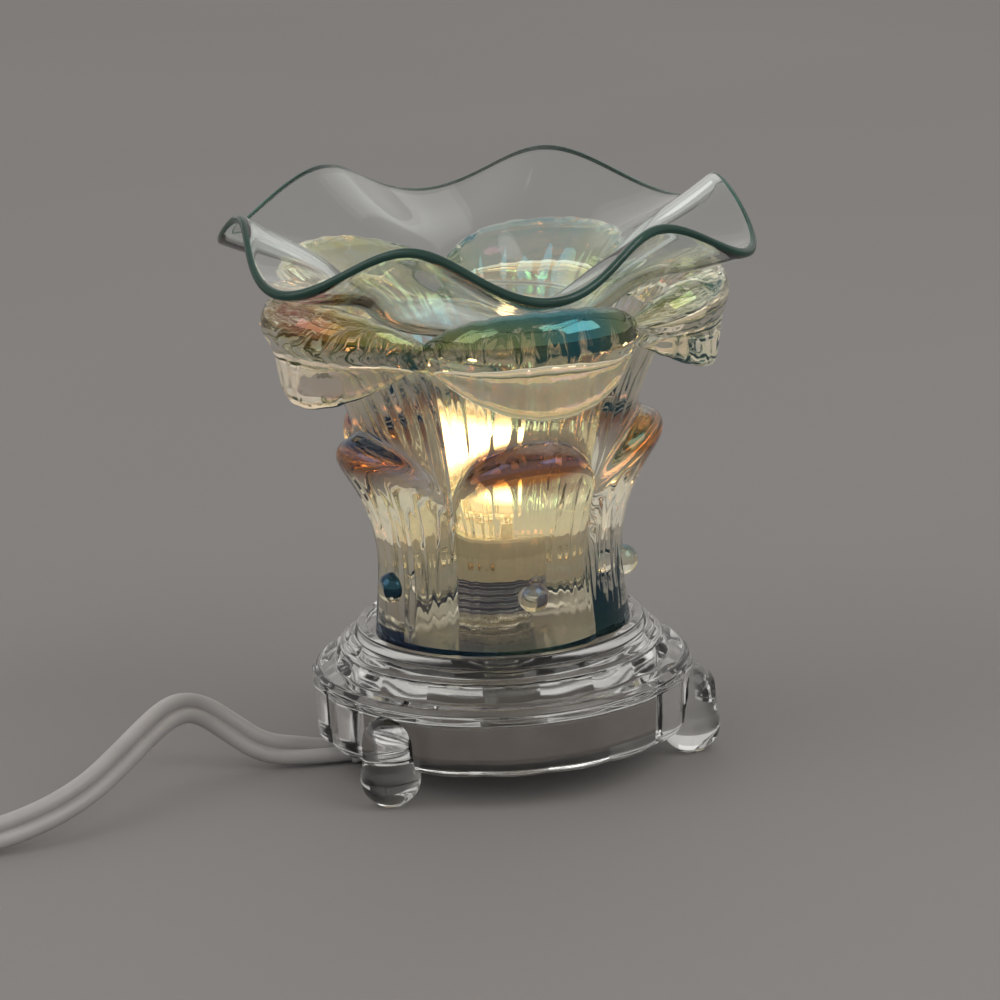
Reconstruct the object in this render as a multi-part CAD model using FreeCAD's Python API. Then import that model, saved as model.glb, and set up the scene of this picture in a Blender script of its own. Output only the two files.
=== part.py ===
"""Wax melt warmer: a pressed glass pedestal with a two-pin halogen lamp in a ceramic holder,
a petalled glass shade that stands over it, and a ruffled glass dish that rests on the petals.

Millimetres, +Z up. The origin is on the table under the middle of the base. The front is -Y.
Pressed and slumped glass that curves both ways is a skin of flat facets, worked out from its
profile, and the rest is turned, lofted or swept.
"""

import FreeCAD, Part
import math
import os

from FreeCAD import Rotation, Vector

UP = Vector(0, 0, 1)
AXIS = Vector(0, 0, 0)
FULL_TURN = 360.0
overrun = 1.0
weld = 0.001

# Glass base
lobes = 18
lobe_azimuth = 22.9
skirt_foot_z = 8.0
skirt_radius = 46.2
skirt_foot_radius = 45.5
skirt_flute_height = 14.2
skirt_flute_depth = 0.9
skirt_edge_height = 0.9
skirt_edge_inset = 1.1
band_radius = 45.3
band_height = 2.2
band_rounding = 1.2
fluted_columns = 72
middle_foot_radius = 40.4
middle_top_radius = 39.0
middle_height = 4.0
middle_flute_depth = 0.8
bead_radius = 38.9
bead_height = 0.9
upper_foot_radius = 37.9
upper_top_radius = 36.7
upper_height = 2.9
upper_flute_depth = 0.7
plateau_foot_radius = 35.3
plateau_top_radius = 34.4
plateau_height = 2.6
recess_depth = 1.0
hollow_radius = 37.2
hollow_wall_height = 11.0
hollow_roof_radius = 30.0
glass_plate_thickness = 6.0
foot_count = 3
foot_azimuth = -37.0
foot_ring_radius = 45.2
foot_ball_radius = 7.2
foot_ball_height = 12.8
foot_flat_radius = 3.4
foot_column_radius = 6.4
foot_column_top_z = 21.6
foot_columns = 16

# Petalled shade
petals = 5
petal_azimuth = 15.5
shade_height = 86.5
petal_reach = 58.2
shade_fit = 0.5
rosette_radius = 3.7
rosette_height = 14.2
rosette_ring_radius = 30.0
rosette_columns = 8

# Ruffled dish
waves = 6
wave_azimuth = 43.2
dish_rim_radius = 61.4
dish_rim_sway = 3.3
dish_depth = 21.3
dish_wave = 5.5
dish_glass = 3.0
dish_floor_radius = 24.0
dish_seat_gap = 0.3

# Facets of the shade and of the dish
petal_columns = 10
shade_rows = 40
dish_columns = 60
dish_rows = 8
rim_rows = 1

# Threaded tube, nuts and washers
tube_radius = 4.9
tube_bore_radius = 3.7
tube_clearance = 0.4
tube_below_nut = 1.8
thread_fit = 0.05
nut_flats = 14.0
nut_height = 2.9
washer_radius = 8.6
washer_thickness = 1.0

# Lamp holder, turned so that its screws face the front left
holder_azimuth = -30.0
saddle_radius = 10.4
saddle_wall = 0.8
saddle_height = 9.4
spigot_fit = 0.15
spigot_height = 4.6
ceramic_radius = 10.8
ceramic_lower_height = 7.0
ceramic_upper_height = 6.4
ceramic_bevel = 0.9
socket_length = 9.4
socket_width = 4.0
socket_depth = 2.2
pin_pitch = 6.35
pin_hole_clearance = 0.35
contact_width = 3.2
contact_depth = 2.6
contact_thickness = 0.45
contact_height = 6.2
contact_fit = 0.1
screw_head_radius = 1.25
screw_head_height = 0.7
screw_shank_radius = 0.8
screw_drop = 0.9

# Two-pin bulb
pin_radius = 0.6
pin_grip = 9.0
bulb_seat_gap = 0.3
pinch_length = 8.4
pinch_width = 3.1
pinch_height = 7.4
capsule_radius = 5.8
capsule_height = 24.0
capsule_wall = 0.9
capsule_shoulder = 3.0
dome_bands = 3
capsule_columns = 24
support_pitch = 3.5
support_height = 5.0
filament_radius = 0.45
filament_rise = 9.0

# Wires in the base
wire_radius = 0.9
wire_sides = 6
wire_pair_pitch = 2.4
crimp_radius = 1.7
crimp_length = 8.0
crimp_middle_x = -8.4
tail_radius = 1.2

# Bottom cover and strain relief
cover_floor_z = 9.4
cover_floor = 1.5
cover_wall = 1.2
cover_height = 9.0
cover_fit = 0.35
cover_bevel = 1.5
relief_x = -17.0
relief_yaw = 9.6
relief_reach = 21.0
relief_neck_radius = 4.2
relief_neck_fit = 0.1
relief_root_length = 9.0
relief_root_width = 11.0
relief_root_bottom_z = 0.7
relief_tip_width = 9.2
relief_tip_height = 4.6
relief_tip_z = 2.4
relief_bevel = 1.3

# Flat twin cord, its coil and the tie round it
cord_width = 7.5
cord_thickness = 3.8
coil_turns = 5.25
coil_turns_in = 2.5
coil_middle_radius = 40.0
coil_gap = 0.6
coil_dip = 7.0
climb_turns = 0.4
tie_width = 6.0
tie_thickness = 0.4
tie_gap = 0.1
tie_side_gap = 0.4
tie_turns = 0.5

# Plug
plug_length = 32.0
plug_width = 24.0
plug_thickness = 13.4
plug_neck_width = 11.0
plug_neck_thickness = 8.0
plug_shoulder = 15.0
plug_bevel = 2.2
blade_pitch = 12.7
blade_height = 6.3
blade_thickness = 1.5
blade_length = 16.5
blade_hole_radius = 1.6
blade_hole_inset = 4.5

# Heights of the glass base, from the table up
skirt_top_z = skirt_foot_z + skirt_flute_height
band_top_z = skirt_top_z + band_height
middle_top_z = band_top_z + middle_height
upper_top_z = middle_top_z + upper_height
plateau_z = upper_top_z + plateau_height
recess_z = plateau_z - recess_depth
roof_z = recess_z - glass_plate_thickness

# Heights of the holder's stack, from the glass up and down
lower_nut_z = roof_z - washer_thickness - nut_height
tube_bottom_z = lower_nut_z - tube_below_nut
upper_nut_z = recess_z + washer_thickness
saddle_z = upper_nut_z + nut_height
saddle_nut_z = saddle_z + saddle_wall
tube_top_z = saddle_nut_z + nut_height
ceramic_z = saddle_z + saddle_height
spigot_z = ceramic_z - spigot_height
ceramic_joint_z = ceramic_z + ceramic_lower_height
ceramic_top_z = ceramic_joint_z + ceramic_upper_height
contact_foot_z = ceramic_joint_z - contact_height
screw_z = ceramic_joint_z - screw_drop - screw_head_radius
socket_z = ceramic_top_z - socket_depth
pinch_z = socket_z + bulb_seat_gap
capsule_z = pinch_z + pinch_height
support_top_z = capsule_z + capsule_shoulder + support_height
crimp_z = cover_floor_z + cover_floor + crimp_radius + contact_fit
core_pitch = cord_width / 2

# Shade profile as shares of petal_reach and shade_height, from the foot of the bore over a petal's
# crest and lip, back under it, and down outside over the leaf to the foot. Each row has the radius
# and height on a petal's middle line, then those in the valley between two petals, and how the
# section fades from the one to the other.
PROFILE_SHARES = (
    (0.423, 0.000, 0.423, 0.000, "round"),
    (0.419, 0.150, 0.419, 0.150, "round"),
    (0.412, 0.320, 0.412, 0.320, "round"),
    (0.419, 0.480, 0.419, 0.480, "round"),
    (0.454, 0.610, 0.450, 0.600, "round"),
    (0.519, 0.735, 0.509, 0.705, "petal"),
    (0.605, 0.852, 0.574, 0.790, "petal"),
    (0.704, 0.938, 0.629, 0.850, "petal"),
    (0.799, 0.995, 0.667, 0.884, "petal"),
    (0.868, 1.017, 0.691, 0.900, "petal"),
    (0.940, 1.009, 0.711, 0.907, "petal"),
    (0.992, 0.967, 0.729, 0.906, "petal"),
    (1.000, 0.914, 0.739, 0.898, "petal"),
    (0.973, 0.882, 0.742, 0.889, "petal"),
    (0.965, 0.840, 0.742, 0.882, "flap"),
    (0.955, 0.775, 0.740, 0.873, "flap"),
    (0.940, 0.722, 0.737, 0.865, "flap"),
    (0.909, 0.706, 0.730, 0.857, "flap"),
    (0.880, 0.735, 0.722, 0.850, "flap"),
    (0.876, 0.800, 0.711, 0.842, "flap"),
    (0.858, 0.860, 0.700, 0.834, "petal"),
    (0.812, 0.888, 0.680, 0.820, "petal"),
    (0.756, 0.854, 0.650, 0.790, "petal"),
    (0.700, 0.782, 0.610, 0.735, "petal"),
    (0.648, 0.700, 0.562, 0.650, "petal"),
    (0.612, 0.640, 0.520, 0.545, "leaf"),
    (0.608, 0.606, 0.490, 0.440, "leaf"),
    (0.650, 0.600, 0.487, 0.425, "leaf"),
    (0.698, 0.583, 0.485, 0.412, "leaf"),
    (0.716, 0.545, 0.483, 0.398, "leaf"),
    (0.680, 0.500, 0.481, 0.382, "leaf"),
    (0.614, 0.435, 0.478, 0.350, "leaf"),
    (0.552, 0.352, 0.474, 0.300, "leaf"),
    (0.518, 0.260, 0.470, 0.240, "lobe"),
    (0.519, 0.150, 0.480, 0.140, "lobe"),
    (0.536, 0.055, 0.492, 0.050, "lobe"),
    (0.543, 0.000, 0.500, 0.000, "lobe"),
)
shade_foot_radius = PROFILE_SHARES[-1][0] * petal_reach

# The powers a and b of each fade, whose weight is (1 - s ** a) ** b at a share s of the way
FADE_SHARES = {
    "round": (2.0, 1.0),
    "petal": (2.6, 0.9),
    "flap": (1.7, 1.0),
    "leaf": (2.2, 0.8),
    "lobe": (2.2, 1.0),
}

# Places of the skin's poles between two valleys
POLE_SHARES = (-1.0, -0.94, -0.8, -0.58, -0.3, 0.0, 0.3, 0.58, 0.8, 0.94, 1.0)

# Dish profile as shares of the way from the floor's edge to the rim, of the depth and of the wave
DISH_SHARES = (
    (0.00, 0.00, 0.00),
    (0.10, 0.02, 0.00),
    (0.24, 0.30, 0.12),
    (0.42, 0.57, 0.40),
    (0.66, 0.74, 0.70),
    (0.85, 0.87, 0.88),
    (1.00, 1.00, 1.00),
)

# Route of the cord that lies open, from the tip of the strain relief to the coil
CORD_ROUTE = (
    Vector(-37.71, -3.50, 2.40),
    Vector(-48.36, -5.30, 2.40),
    Vector(-58.5, -6.4, 4.2),
    Vector(-66.0, -6.2, 10.4),
    Vector(-71.8, -7.2, 16.0),
    Vector(-76.4, -10.6, 18.9),
    Vector(-80.6, -16.4, 19.0),
    Vector(-84.8, -24.2, 17.0),
    Vector(-90.2, -33.8, 13.4),
    Vector(-97.4, -44.8, 9.6),
    Vector(-107.0, -53.6, 6.4),
    Vector(-119.0, -60.2, 3.6),
    Vector(-135.0, -64.4, 2.4),
    Vector(-153.0, -67.0, 2.45),
    Vector(-171.0, -70.6, 2.45),
)
# Route of the cord from the coil to the plug, along and to the left of the coil's last heading
PLUG_ROUTE = (
    Vector(0, 0, 0),
    Vector(17.0, 0, 0),
    Vector(35.0, 2.5, 0),
)


def around(radius, azimuth, height):
    """A point at a radius and height, its azimuth taken from the front towards +X."""
    turn = math.radians(azimuth)
    return Vector(radius * math.sin(turn), -radius * math.cos(turn), height)


def turned(shape, azimuth):
    """A copy of a shape that was made facing the front, turned to an azimuth."""
    copy = shape.copy()
    copy.rotate(AXIS, UP, azimuth)
    return copy


def moved(shape, offset):
    """A copy of a shape, shifted."""
    copy = shape.copy()
    copy.translate(offset)
    return copy


def cylinder(radius, low, high):
    """An upright cylinder on the axis between two heights."""
    return Part.makeCylinder(radius, high - low, Vector(0, 0, low))


def block(low, high):
    """A box between two corners."""
    size = high - low
    return Part.makeBox(size.x, size.y, size.z, low)


def revolved(points):
    """A solid of revolution from a closed outline of (radius, height) pairs."""
    corners = [Vector(radius, 0, height) for radius, height in points]
    face = Part.Face(Part.makePolygon(corners + corners[:1]))
    return face.revolve(AXIS, UP, FULL_TURN)


def joined(shapes):
    """One solid from shapes that overlap or share faces."""
    return shapes[0].fuse(list(shapes[1:])).removeSplitter().Solids[0]


def faceted(rings, capped):
    """A solid of flat facets through closed rings of points. Capped ends are flat fans, and
    otherwise the last ring joins the first."""
    count = len(rings[0])
    points = [point for ring in rings for point in ring]
    facets = []
    pairs = len(rings) - 1 if capped else len(rings)
    for row in range(pairs):
        here = row * count
        there = (row + 1) % len(rings) * count
        for column in range(count):
            after = (column + 1) % count
            near, far = here + column, there + after
            left, right = there + column, here + after
            if points[near].distanceToPoint(points[far]) < points[left].distanceToPoint(points[right]):
                facets += [(near, right, far), (near, far, left)]
            else:
                facets += [(near, right, left), (right, far, left)]
    if capped:
        last = len(points) - count
        for start, flip in ((0, False), (last, True)):
            middle = len(points)
            ring = points[start:start + count]
            points.append(sum(ring, Vector()) / count)
            for column in range(count):
                edge = (start + column, start + (column + 1) % count)
                facets.append((middle, edge[0], edge[1]) if flip else (middle, edge[1], edge[0]))
    skin = Part.Shape()
    skin.makeShapeFromMesh((points, facets), weld)
    body = Part.Solid(Part.Shell(skin.Faces))
    if body.Volume < 0:
        body.reverse()
    return body


def turned_facets(points, columns):
    """A turned solid of flat facets from its outline's (radius, height) pairs, bottom to top."""
    rings = [
        [around(radius, number * FULL_TURN / columns, height) for number in range(columns)]
        for radius, height in points
    ]
    return faceted(rings, True)


def fluted_ring(radius, depth, height):
    """A closed ring of outward lobes that meet in cusps."""
    ring = []
    for number in range(fluted_columns):
        azimuth = lobe_azimuth + number * FULL_TURN / fluted_columns
        swell = abs(math.cos(math.radians(lobes * (azimuth - lobe_azimuth) / 2)))
        ring.append(around(radius - depth * (1 - swell), azimuth, height))
    return ring


def bun_foot():
    """A flattened ball with a ground flat, and the round-topped column that carries it."""
    middle_z = foot_ball_height / 2
    dome_z = foot_column_top_z - foot_column_radius
    slope = math.sqrt(1 / 2)
    foot = turned_facets([
        (foot_flat_radius, 0),
        (foot_ball_radius * slope, middle_z * (1 - slope)),
        (foot_ball_radius, middle_z * (1 - slope / 3)),
        (foot_ball_radius, middle_z * (1 + slope / 3)),
        (foot_column_radius, foot_ball_height * slope),
        (foot_column_radius, dome_z),
        (foot_column_radius * slope, dome_z + foot_column_radius * slope),
        (foot_column_radius * (1 - slope), foot_column_top_z),
    ], foot_columns)
    return moved(foot, around(foot_ring_radius, 0, 0))


def glass_base():
    """Stepped, scalloped pedestal on bun feet, hollow below, with a round recess for the shade."""
    body = faceted([
        fluted_ring(skirt_foot_radius - skirt_edge_inset, skirt_flute_depth, skirt_foot_z),
        fluted_ring(skirt_foot_radius, skirt_flute_depth, skirt_foot_z + skirt_edge_height),
        fluted_ring(skirt_radius, skirt_flute_depth, skirt_top_z),
        fluted_ring(band_radius, 0, skirt_top_z),
        fluted_ring(band_radius, 0, band_top_z - band_rounding),
        fluted_ring(band_radius - band_rounding, 0, band_top_z),
        fluted_ring(middle_foot_radius, middle_flute_depth, band_top_z),
        fluted_ring(middle_top_radius, middle_flute_depth, middle_top_z),
        fluted_ring(bead_radius, 0, middle_top_z),
        fluted_ring(bead_radius, 0, middle_top_z + bead_height),
        fluted_ring(upper_foot_radius, upper_flute_depth, middle_top_z + bead_height),
        fluted_ring(upper_top_radius, upper_flute_depth, upper_top_z),
        fluted_ring(plateau_foot_radius, 0, upper_top_z),
        fluted_ring(plateau_top_radius, 0, plateau_z),
    ], True)
    feet = [
        turned(bun_foot(), foot_azimuth + number * FULL_TURN / foot_count)
        for number in range(foot_count)
    ]
    whole = body.fuse(feet)
    hollow = revolved([
        (0, skirt_foot_z - overrun),
        (hollow_radius, skirt_foot_z - overrun),
        (hollow_radius, skirt_foot_z + hollow_wall_height),
        (hollow_roof_radius, roof_z),
        (0, roof_z),
    ])
    recess = cylinder(shade_foot_radius + shade_fit, recess_z, plateau_z + overrun)
    bore = cylinder(tube_radius + tube_clearance, roof_z - overrun, recess_z + overrun)
    return whole.cut([hollow, recess, bore]).Solids[0]


def fade(share, name):
    """The weight of a petal's middle section at a share of the way to the valley."""
    power, shape = FADE_SHARES[name]
    return (1 - abs(share) ** power) ** shape


def shade_pole(row, share):
    """One pole of the shade's skin: a row of the profile at a share of a petal's half width."""
    radius, height, valley_radius, valley_height, name = row
    weight = fade(share, name)
    reach = valley_radius + (radius - valley_radius) * weight
    rise = valley_height + (height - valley_height) * weight
    azimuth = share * FULL_TURN / petals / 2
    return around(reach * petal_reach, azimuth, recess_z + rise * shade_height)


def clamped_knots(count, degree):
    """Multiplicities and knots of a spline that starts on its first pole and ends on its last."""
    spans = count - degree
    return [degree + 1] + [1] * (spans - 1) + [degree + 1], [float(knot) for knot in range(spans + 1)]


def petal_skin():
    """The smooth skin of one petal and its leaf, from valley to valley."""
    degree = 3
    poles = [[shade_pole(row, share) for row in PROFILE_SHARES] for share in POLE_SHARES]
    u_mults, u_knots = clamped_knots(len(poles), degree)
    v_mults, v_knots = clamped_knots(len(PROFILE_SHARES), degree)
    skin = Part.BSplineSurface()
    skin.buildFromPolesMultsKnots(
        poles, u_mults, v_mults, u_knots, v_knots, False, False, degree, degree,
    )
    return skin


def petal_rings():
    """Rings of points on the shade's skin, from the foot of the bore round to the foot outside."""
    skin = petal_skin()
    u_end = skin.getUKnots()[-1]
    v_end = skin.getVKnots()[-1]
    rings = []
    for row in range(shade_rows + 1):
        line = [
            skin.value(u_end * column / petal_columns, v_end * row / shade_rows)
            for column in range(petal_columns)
        ]
        turns = [
            Rotation(UP, petal_azimuth + number * FULL_TURN / petals) for number in range(petals)
        ]
        rings.append([turn.multVec(point) for turn in turns for point in line])
    return rings


def petal_shade():
    """Pressed glass shade: petals that curl over, leaves below them and a bead on each leaf."""
    bead = rosette()
    beads = [
        turned(bead, petal_azimuth + number * FULL_TURN / petals) for number in range(petals)
    ]
    return faceted(petal_rings(), False).fuse(beads).Solids[0]


def rosette():
    """The bead at the foot of a leaf, facing the front, its root inside the leaf."""
    slope = math.sqrt(1 / 2)
    bead = turned_facets([
        (rosette_radius * slope, -rosette_radius * slope),
        (rosette_radius, 0),
        (rosette_radius * slope, rosette_radius * slope),
        (rosette_radius * (1 - slope), rosette_radius),
    ], rosette_columns)
    bead.rotate(AXIS, Vector(1, 0, 0), FULL_TURN / 4)
    return moved(bead, around(rosette_ring_radius, 0, recess_z + rosette_height))


def dish_sections():
    """The dish's shares from its floor to its rim, smoothed."""
    curve = Part.BSplineCurve()
    degree = 3
    mults, knots = clamped_knots(len(DISH_SHARES), degree)
    curve.buildFromPolesMultsKnots([Vector(*row) for row in DISH_SHARES], mults, knots, False, degree)
    return [curve.value(knots[-1] * row / dish_rows) for row in range(dish_rows + 1)]


def dish_point(azimuth, shares, offset_out, offset_up):
    """A point of the dish above its floor, moved off its underside in radius and height."""
    swing = math.cos(math.radians(waves * (azimuth - wave_azimuth)))
    rim = dish_rim_radius - dish_rim_sway * swing
    radius = dish_floor_radius + (rim - dish_floor_radius) * shares.x + offset_out
    return around(radius, azimuth, dish_depth * shares.y + dish_wave * swing * shares.z + offset_up)


def dish_normal(before, after):
    """Unit normal of the dish's mean section between two of its shares, in radius and height."""
    run = (dish_rim_radius - dish_floor_radius) * (after.x - before.x)
    climb = dish_depth * (after.y - before.y)
    return -climb / math.hypot(run, climb), run / math.hypot(run, climb)


def melt_dish():
    """Slumped glass dish with a flat floor and a rim of waves, standing on the petals."""
    sections = dish_sections()
    azimuths = [number * FULL_TURN / dish_columns for number in range(dish_columns)]
    lower = []
    upper = []
    for row, shares in enumerate(sections):
        before = sections[max(row - 1, 0)]
        after = sections[min(row + 1, dish_rows)]
        out, rise = dish_normal(before, after) if row else (0, 1)
        lower.append([dish_point(azimuth, shares, 0, 0) for azimuth in azimuths])
        upper.append([
            dish_point(azimuth, shares, out * dish_glass, rise * dish_glass) for azimuth in azimuths
        ])
    rim = []
    for row in range(1, rim_rows + 1):
        turn = math.pi * row / (rim_rows + 1)
        across = dish_glass / 2 * (1 - math.cos(turn))
        beyond = dish_glass / 2 * math.sin(turn)
        rim.append([
            dish_point(azimuth, sections[-1], out * across + rise * beyond, rise * across - out * beyond)
            for azimuth in azimuths
        ])
    dish = faceted(lower + rim + list(reversed(upper)), True)
    return moved(dish, Vector(0, 0, dish_floor_height(sections)))


def dish_underside(point, sections):
    """Height of the dish's underside over its floor, above or below a point."""
    azimuth = math.degrees(math.atan2(point.x, -point.y))
    swing = math.cos(math.radians(waves * (azimuth - wave_azimuth)))
    rim = dish_rim_radius - dish_rim_sway * swing
    share = (math.hypot(point.x, point.y) - dish_floor_radius) / (rim - dish_floor_radius)
    share = min(max(share, 0), 1)
    for low, high in zip(sections, sections[1:]):
        if high.x >= share:
            break
    there = low + (high - low) * ((share - low.x) / (high.x - low.x))
    return dish_depth * there.y + dish_wave * swing * there.z


def dish_floor_height(sections):
    """Height of the dish's floor at which its underside comes to rest on the petals."""
    points = [point for ring in petal_rings() for point in ring]
    return max(point.z - dish_underside(point, sections) for point in points) + dish_seat_gap


def hexagon_nut(low):
    """A thin hexagon nut on the threaded tube."""
    corner = nut_flats / math.sqrt(3)
    ring = [around(corner, number * FULL_TURN / 6, low) for number in range(6)]
    nut = Part.Face(Part.makePolygon(ring + ring[:1])).extrude(UP * nut_height)
    return nut.cut(cylinder(tube_radius + thread_fit, low - overrun, low + nut_height + overrun))


def lock_nuts():
    """Three equal nuts: under the glass, on the glass and inside the saddle."""
    return Part.makeCompound([hexagon_nut(low) for low in (lower_nut_z, upper_nut_z, saddle_nut_z)])


def washers():
    """Two equal washers, one on each side of the glass."""
    rings = []
    for low in (recess_z, roof_z - washer_thickness):
        high = low + washer_thickness
        bore = cylinder(tube_radius + tube_clearance, low - overrun, high + overrun)
        rings.append(cylinder(washer_radius, low, high).cut(bore))
    return Part.makeCompound(rings)


def threaded_tube():
    """Hollow tube through the glass that carries the nuts."""
    bore = cylinder(tube_bore_radius, tube_bottom_z - overrun, tube_top_z + overrun)
    return cylinder(tube_radius, tube_bottom_z, tube_top_z).cut(bore)


def holder_saddle():
    """Pressed metal cup, clamped between two nuts."""
    inner = saddle_radius - saddle_wall
    return revolved([
        (tube_radius + tube_clearance, saddle_z),
        (saddle_radius, saddle_z),
        (saddle_radius, ceramic_z),
        (inner, ceramic_z),
        (inner, saddle_nut_z),
        (tube_radius + tube_clearance, saddle_nut_z),
    ])


def contact_room(side, low, high, grown):
    """The outline of one contact as a box, grown by a clearance."""
    middle = side * pin_pitch / 2
    half_width = contact_width / 2 + grown
    half_depth = contact_depth / 2 + grown
    return block(
        Vector(middle - half_width, -half_depth, low),
        Vector(middle + half_width, half_depth, high),
    )


def screw_shank(side, radius, front_y, back_y):
    """The shank of a terminal screw, or its hole, between two depths."""
    start = Vector(side * pin_pitch / 2, front_y, screw_z)
    return Part.makeCylinder(radius, back_y - front_y, start, Vector(0, 1, 0))


def holder_lower():
    """Lower half of the ceramic holder: spigot, rooms for the contacts, wire and screw holes."""
    spigot = cylinder(saddle_radius - saddle_wall - spigot_fit, spigot_z, ceramic_z)
    body = joined([spigot, cylinder(ceramic_radius, ceramic_z, ceramic_joint_z)])
    cuts = []
    for side in (-1, 1):
        cuts.append(contact_room(side, contact_foot_z, ceramic_joint_z + overrun, contact_fit))
        wire = cylinder(wire_radius + tube_clearance, spigot_z - overrun, contact_foot_z + overrun)
        cuts.append(moved(wire, Vector(side * pin_pitch / 2, 0, 0)))
        cuts.append(screw_shank(side, screw_shank_radius + contact_fit, -ceramic_radius, 0))
    return turned(body.cut(cuts), holder_azimuth)


def holder_upper():
    """Upper half of the ceramic holder, bevelled, with the socket for the bulb's pinch."""
    drum = revolved([
        (0, ceramic_joint_z),
        (ceramic_radius, ceramic_joint_z),
        (ceramic_radius, ceramic_top_z - ceramic_bevel),
        (ceramic_radius - ceramic_bevel, ceramic_top_z),
        (0, ceramic_top_z),
    ])
    socket = block(
        Vector(-socket_length / 2, -socket_width / 2, socket_z),
        Vector(socket_length / 2, socket_width / 2, ceramic_top_z + overrun),
    )
    hole = cylinder(pin_radius + pin_hole_clearance, ceramic_joint_z - overrun, socket_z + overrun)
    holes = [moved(hole, Vector(side * pin_pitch / 2, 0, 0)) for side in (-1, 1)]
    return turned(drum.cut([socket] + holes), holder_azimuth)


def contact(side):
    """A folded spring contact: a floor and two leaves that grip the pin."""
    middle = side * pin_pitch / 2
    leaf_y = contact_depth / 2 - contact_thickness
    room = block(
        Vector(middle - contact_width, -leaf_y, contact_foot_z + contact_thickness),
        Vector(middle + contact_width, leaf_y, ceramic_joint_z + overrun),
    )
    return turned(contact_room(side, contact_foot_z, ceramic_joint_z, 0).cut(room), holder_azimuth)


def terminal_screws():
    """Two screws whose heads show on the front of the ceramic."""
    outer = pin_pitch / 2 - screw_head_radius
    face_y = -math.sqrt(ceramic_radius ** 2 - outer ** 2)
    screws = []
    for side in (-1, 1):
        head = screw_shank(side, screw_head_radius, face_y - screw_head_height, face_y)
        shank = screw_shank(side, screw_shank_radius, face_y, -contact_depth / 2)
        screws.append(turned(joined([head, shank]), holder_azimuth))
    return Part.makeCompound(screws)


def dome(radius, high):
    """The outline of a dome's bands up to its top, as (radius, height) pairs."""
    turns = [math.pi / 2 * band / (dome_bands + 1 / 2) for band in range(dome_bands + 1)]
    return [(radius * math.cos(turn), high - radius + radius * math.sin(turn)) for turn in turns]


def bulb_glass():
    """Halogen capsule: a domed tube over a flat pinch."""
    shoulder_z = capsule_z + capsule_shoulder
    high = capsule_z + capsule_height
    outline = [(pinch_length / 2, capsule_z), (capsule_radius, shoulder_z)] + dome(capsule_radius, high)
    tube = turned_facets(outline, capsule_columns)
    pinch = block(
        Vector(-pinch_length / 2, -pinch_width / 2, pinch_z),
        Vector(pinch_length / 2, pinch_width / 2, shoulder_z),
    )
    inner = capsule_radius - capsule_wall
    room = turned_facets([(inner, shoulder_z)] + dome(inner, high - capsule_wall), capsule_columns)
    return turned(joined([tube, pinch]).cut(room), holder_azimuth)


def bulb_pins():
    """The two pins and the thinner supports that rise from them into the capsule."""
    pins = []
    for side in (-1, 1):
        outer = side * pin_pitch / 2
        inner = side * support_pitch / 2
        pin = moved(cylinder(pin_radius, pinch_z - pin_grip, capsule_z), Vector(outer, 0, 0))
        post = moved(cylinder(filament_radius, capsule_z, support_top_z), Vector(inner, 0, 0))
        bridge = block(
            Vector(min(outer, inner), -filament_radius, capsule_z - pin_radius),
            Vector(max(outer, inner), filament_radius, capsule_z),
        )
        pins.append(joined([pin, bridge, post]))
    return turned(Part.makeCompound(pins), holder_azimuth)


def wire(points, radius):
    """A thin wire with a few flat sides and mitred corners."""
    path = Part.makePolygon(points)
    turn = Rotation(UP, points[1] - points[0])
    ring = [
        points[0] + turn.multVec(around(radius, number * FULL_TURN / wire_sides, 0))
        for number in range(wire_sides)
    ]
    right_corner = 1
    return path.makePipeShell([Part.makePolygon(ring + ring[:1])], True, False, right_corner)


def bulb_filament():
    """The filament: an arch from one support to the other."""
    half = support_pitch / 2
    top_z = support_top_z + filament_rise
    arch = wire([
        Vector(-half, 0, support_top_z),
        Vector(-half, 0, top_z - half),
        Vector(0, 0, top_z),
        Vector(half, 0, top_z - half),
        Vector(half, 0, support_top_z),
    ], filament_radius)
    return turned(arch, holder_azimuth)


def holder_leads():
    """Two insulated wires from the contacts, down the threaded tube, to the crimps."""
    turn = Rotation(UP, holder_azimuth)
    leads = []
    for side in (-1, 1):
        leads.append(wire([
            turn.multVec(Vector(side * pin_pitch / 2, 0, contact_foot_z)),
            turn.multVec(Vector(side * pin_pitch / 2, 0, spigot_z)),
            turn.multVec(Vector(side * wire_pair_pitch / 2, 0, tube_top_z - nut_height)),
            Vector(0, -side * wire_pair_pitch / 2, tube_bottom_z),
            Vector(0, -side * core_pitch / 2, crimp_z),
            Vector(crimp_middle_x + crimp_length / 2, -side * core_pitch / 2, crimp_z),
        ], wire_radius))
    return Part.makeCompound(leads)


def crimps():
    """Two crimped joints between the holder's wires and the cord's split ends."""
    sleeves = []
    for side in (-1, 1):
        start = Vector(crimp_middle_x - crimp_length / 2, side * core_pitch / 2, crimp_z)
        sleeves.append(Part.makeCylinder(crimp_radius, crimp_length, start, Vector(1, 0, 0)))
    return Part.makeCompound(sleeves)


def cord_tails():
    """The two split ends of the cord, from the strain relief's neck to the crimps."""
    tails = []
    for side in (-1, 1):
        tails.append(wire([
            Vector(relief_x, side * core_pitch / 2, cover_floor_z + cover_floor),
            Vector(relief_x, side * core_pitch / 2, crimp_z),
            Vector(crimp_middle_x - crimp_length / 2, side * core_pitch / 2, crimp_z),
        ], tail_radius))
    return Part.makeCompound(tails)


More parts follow.
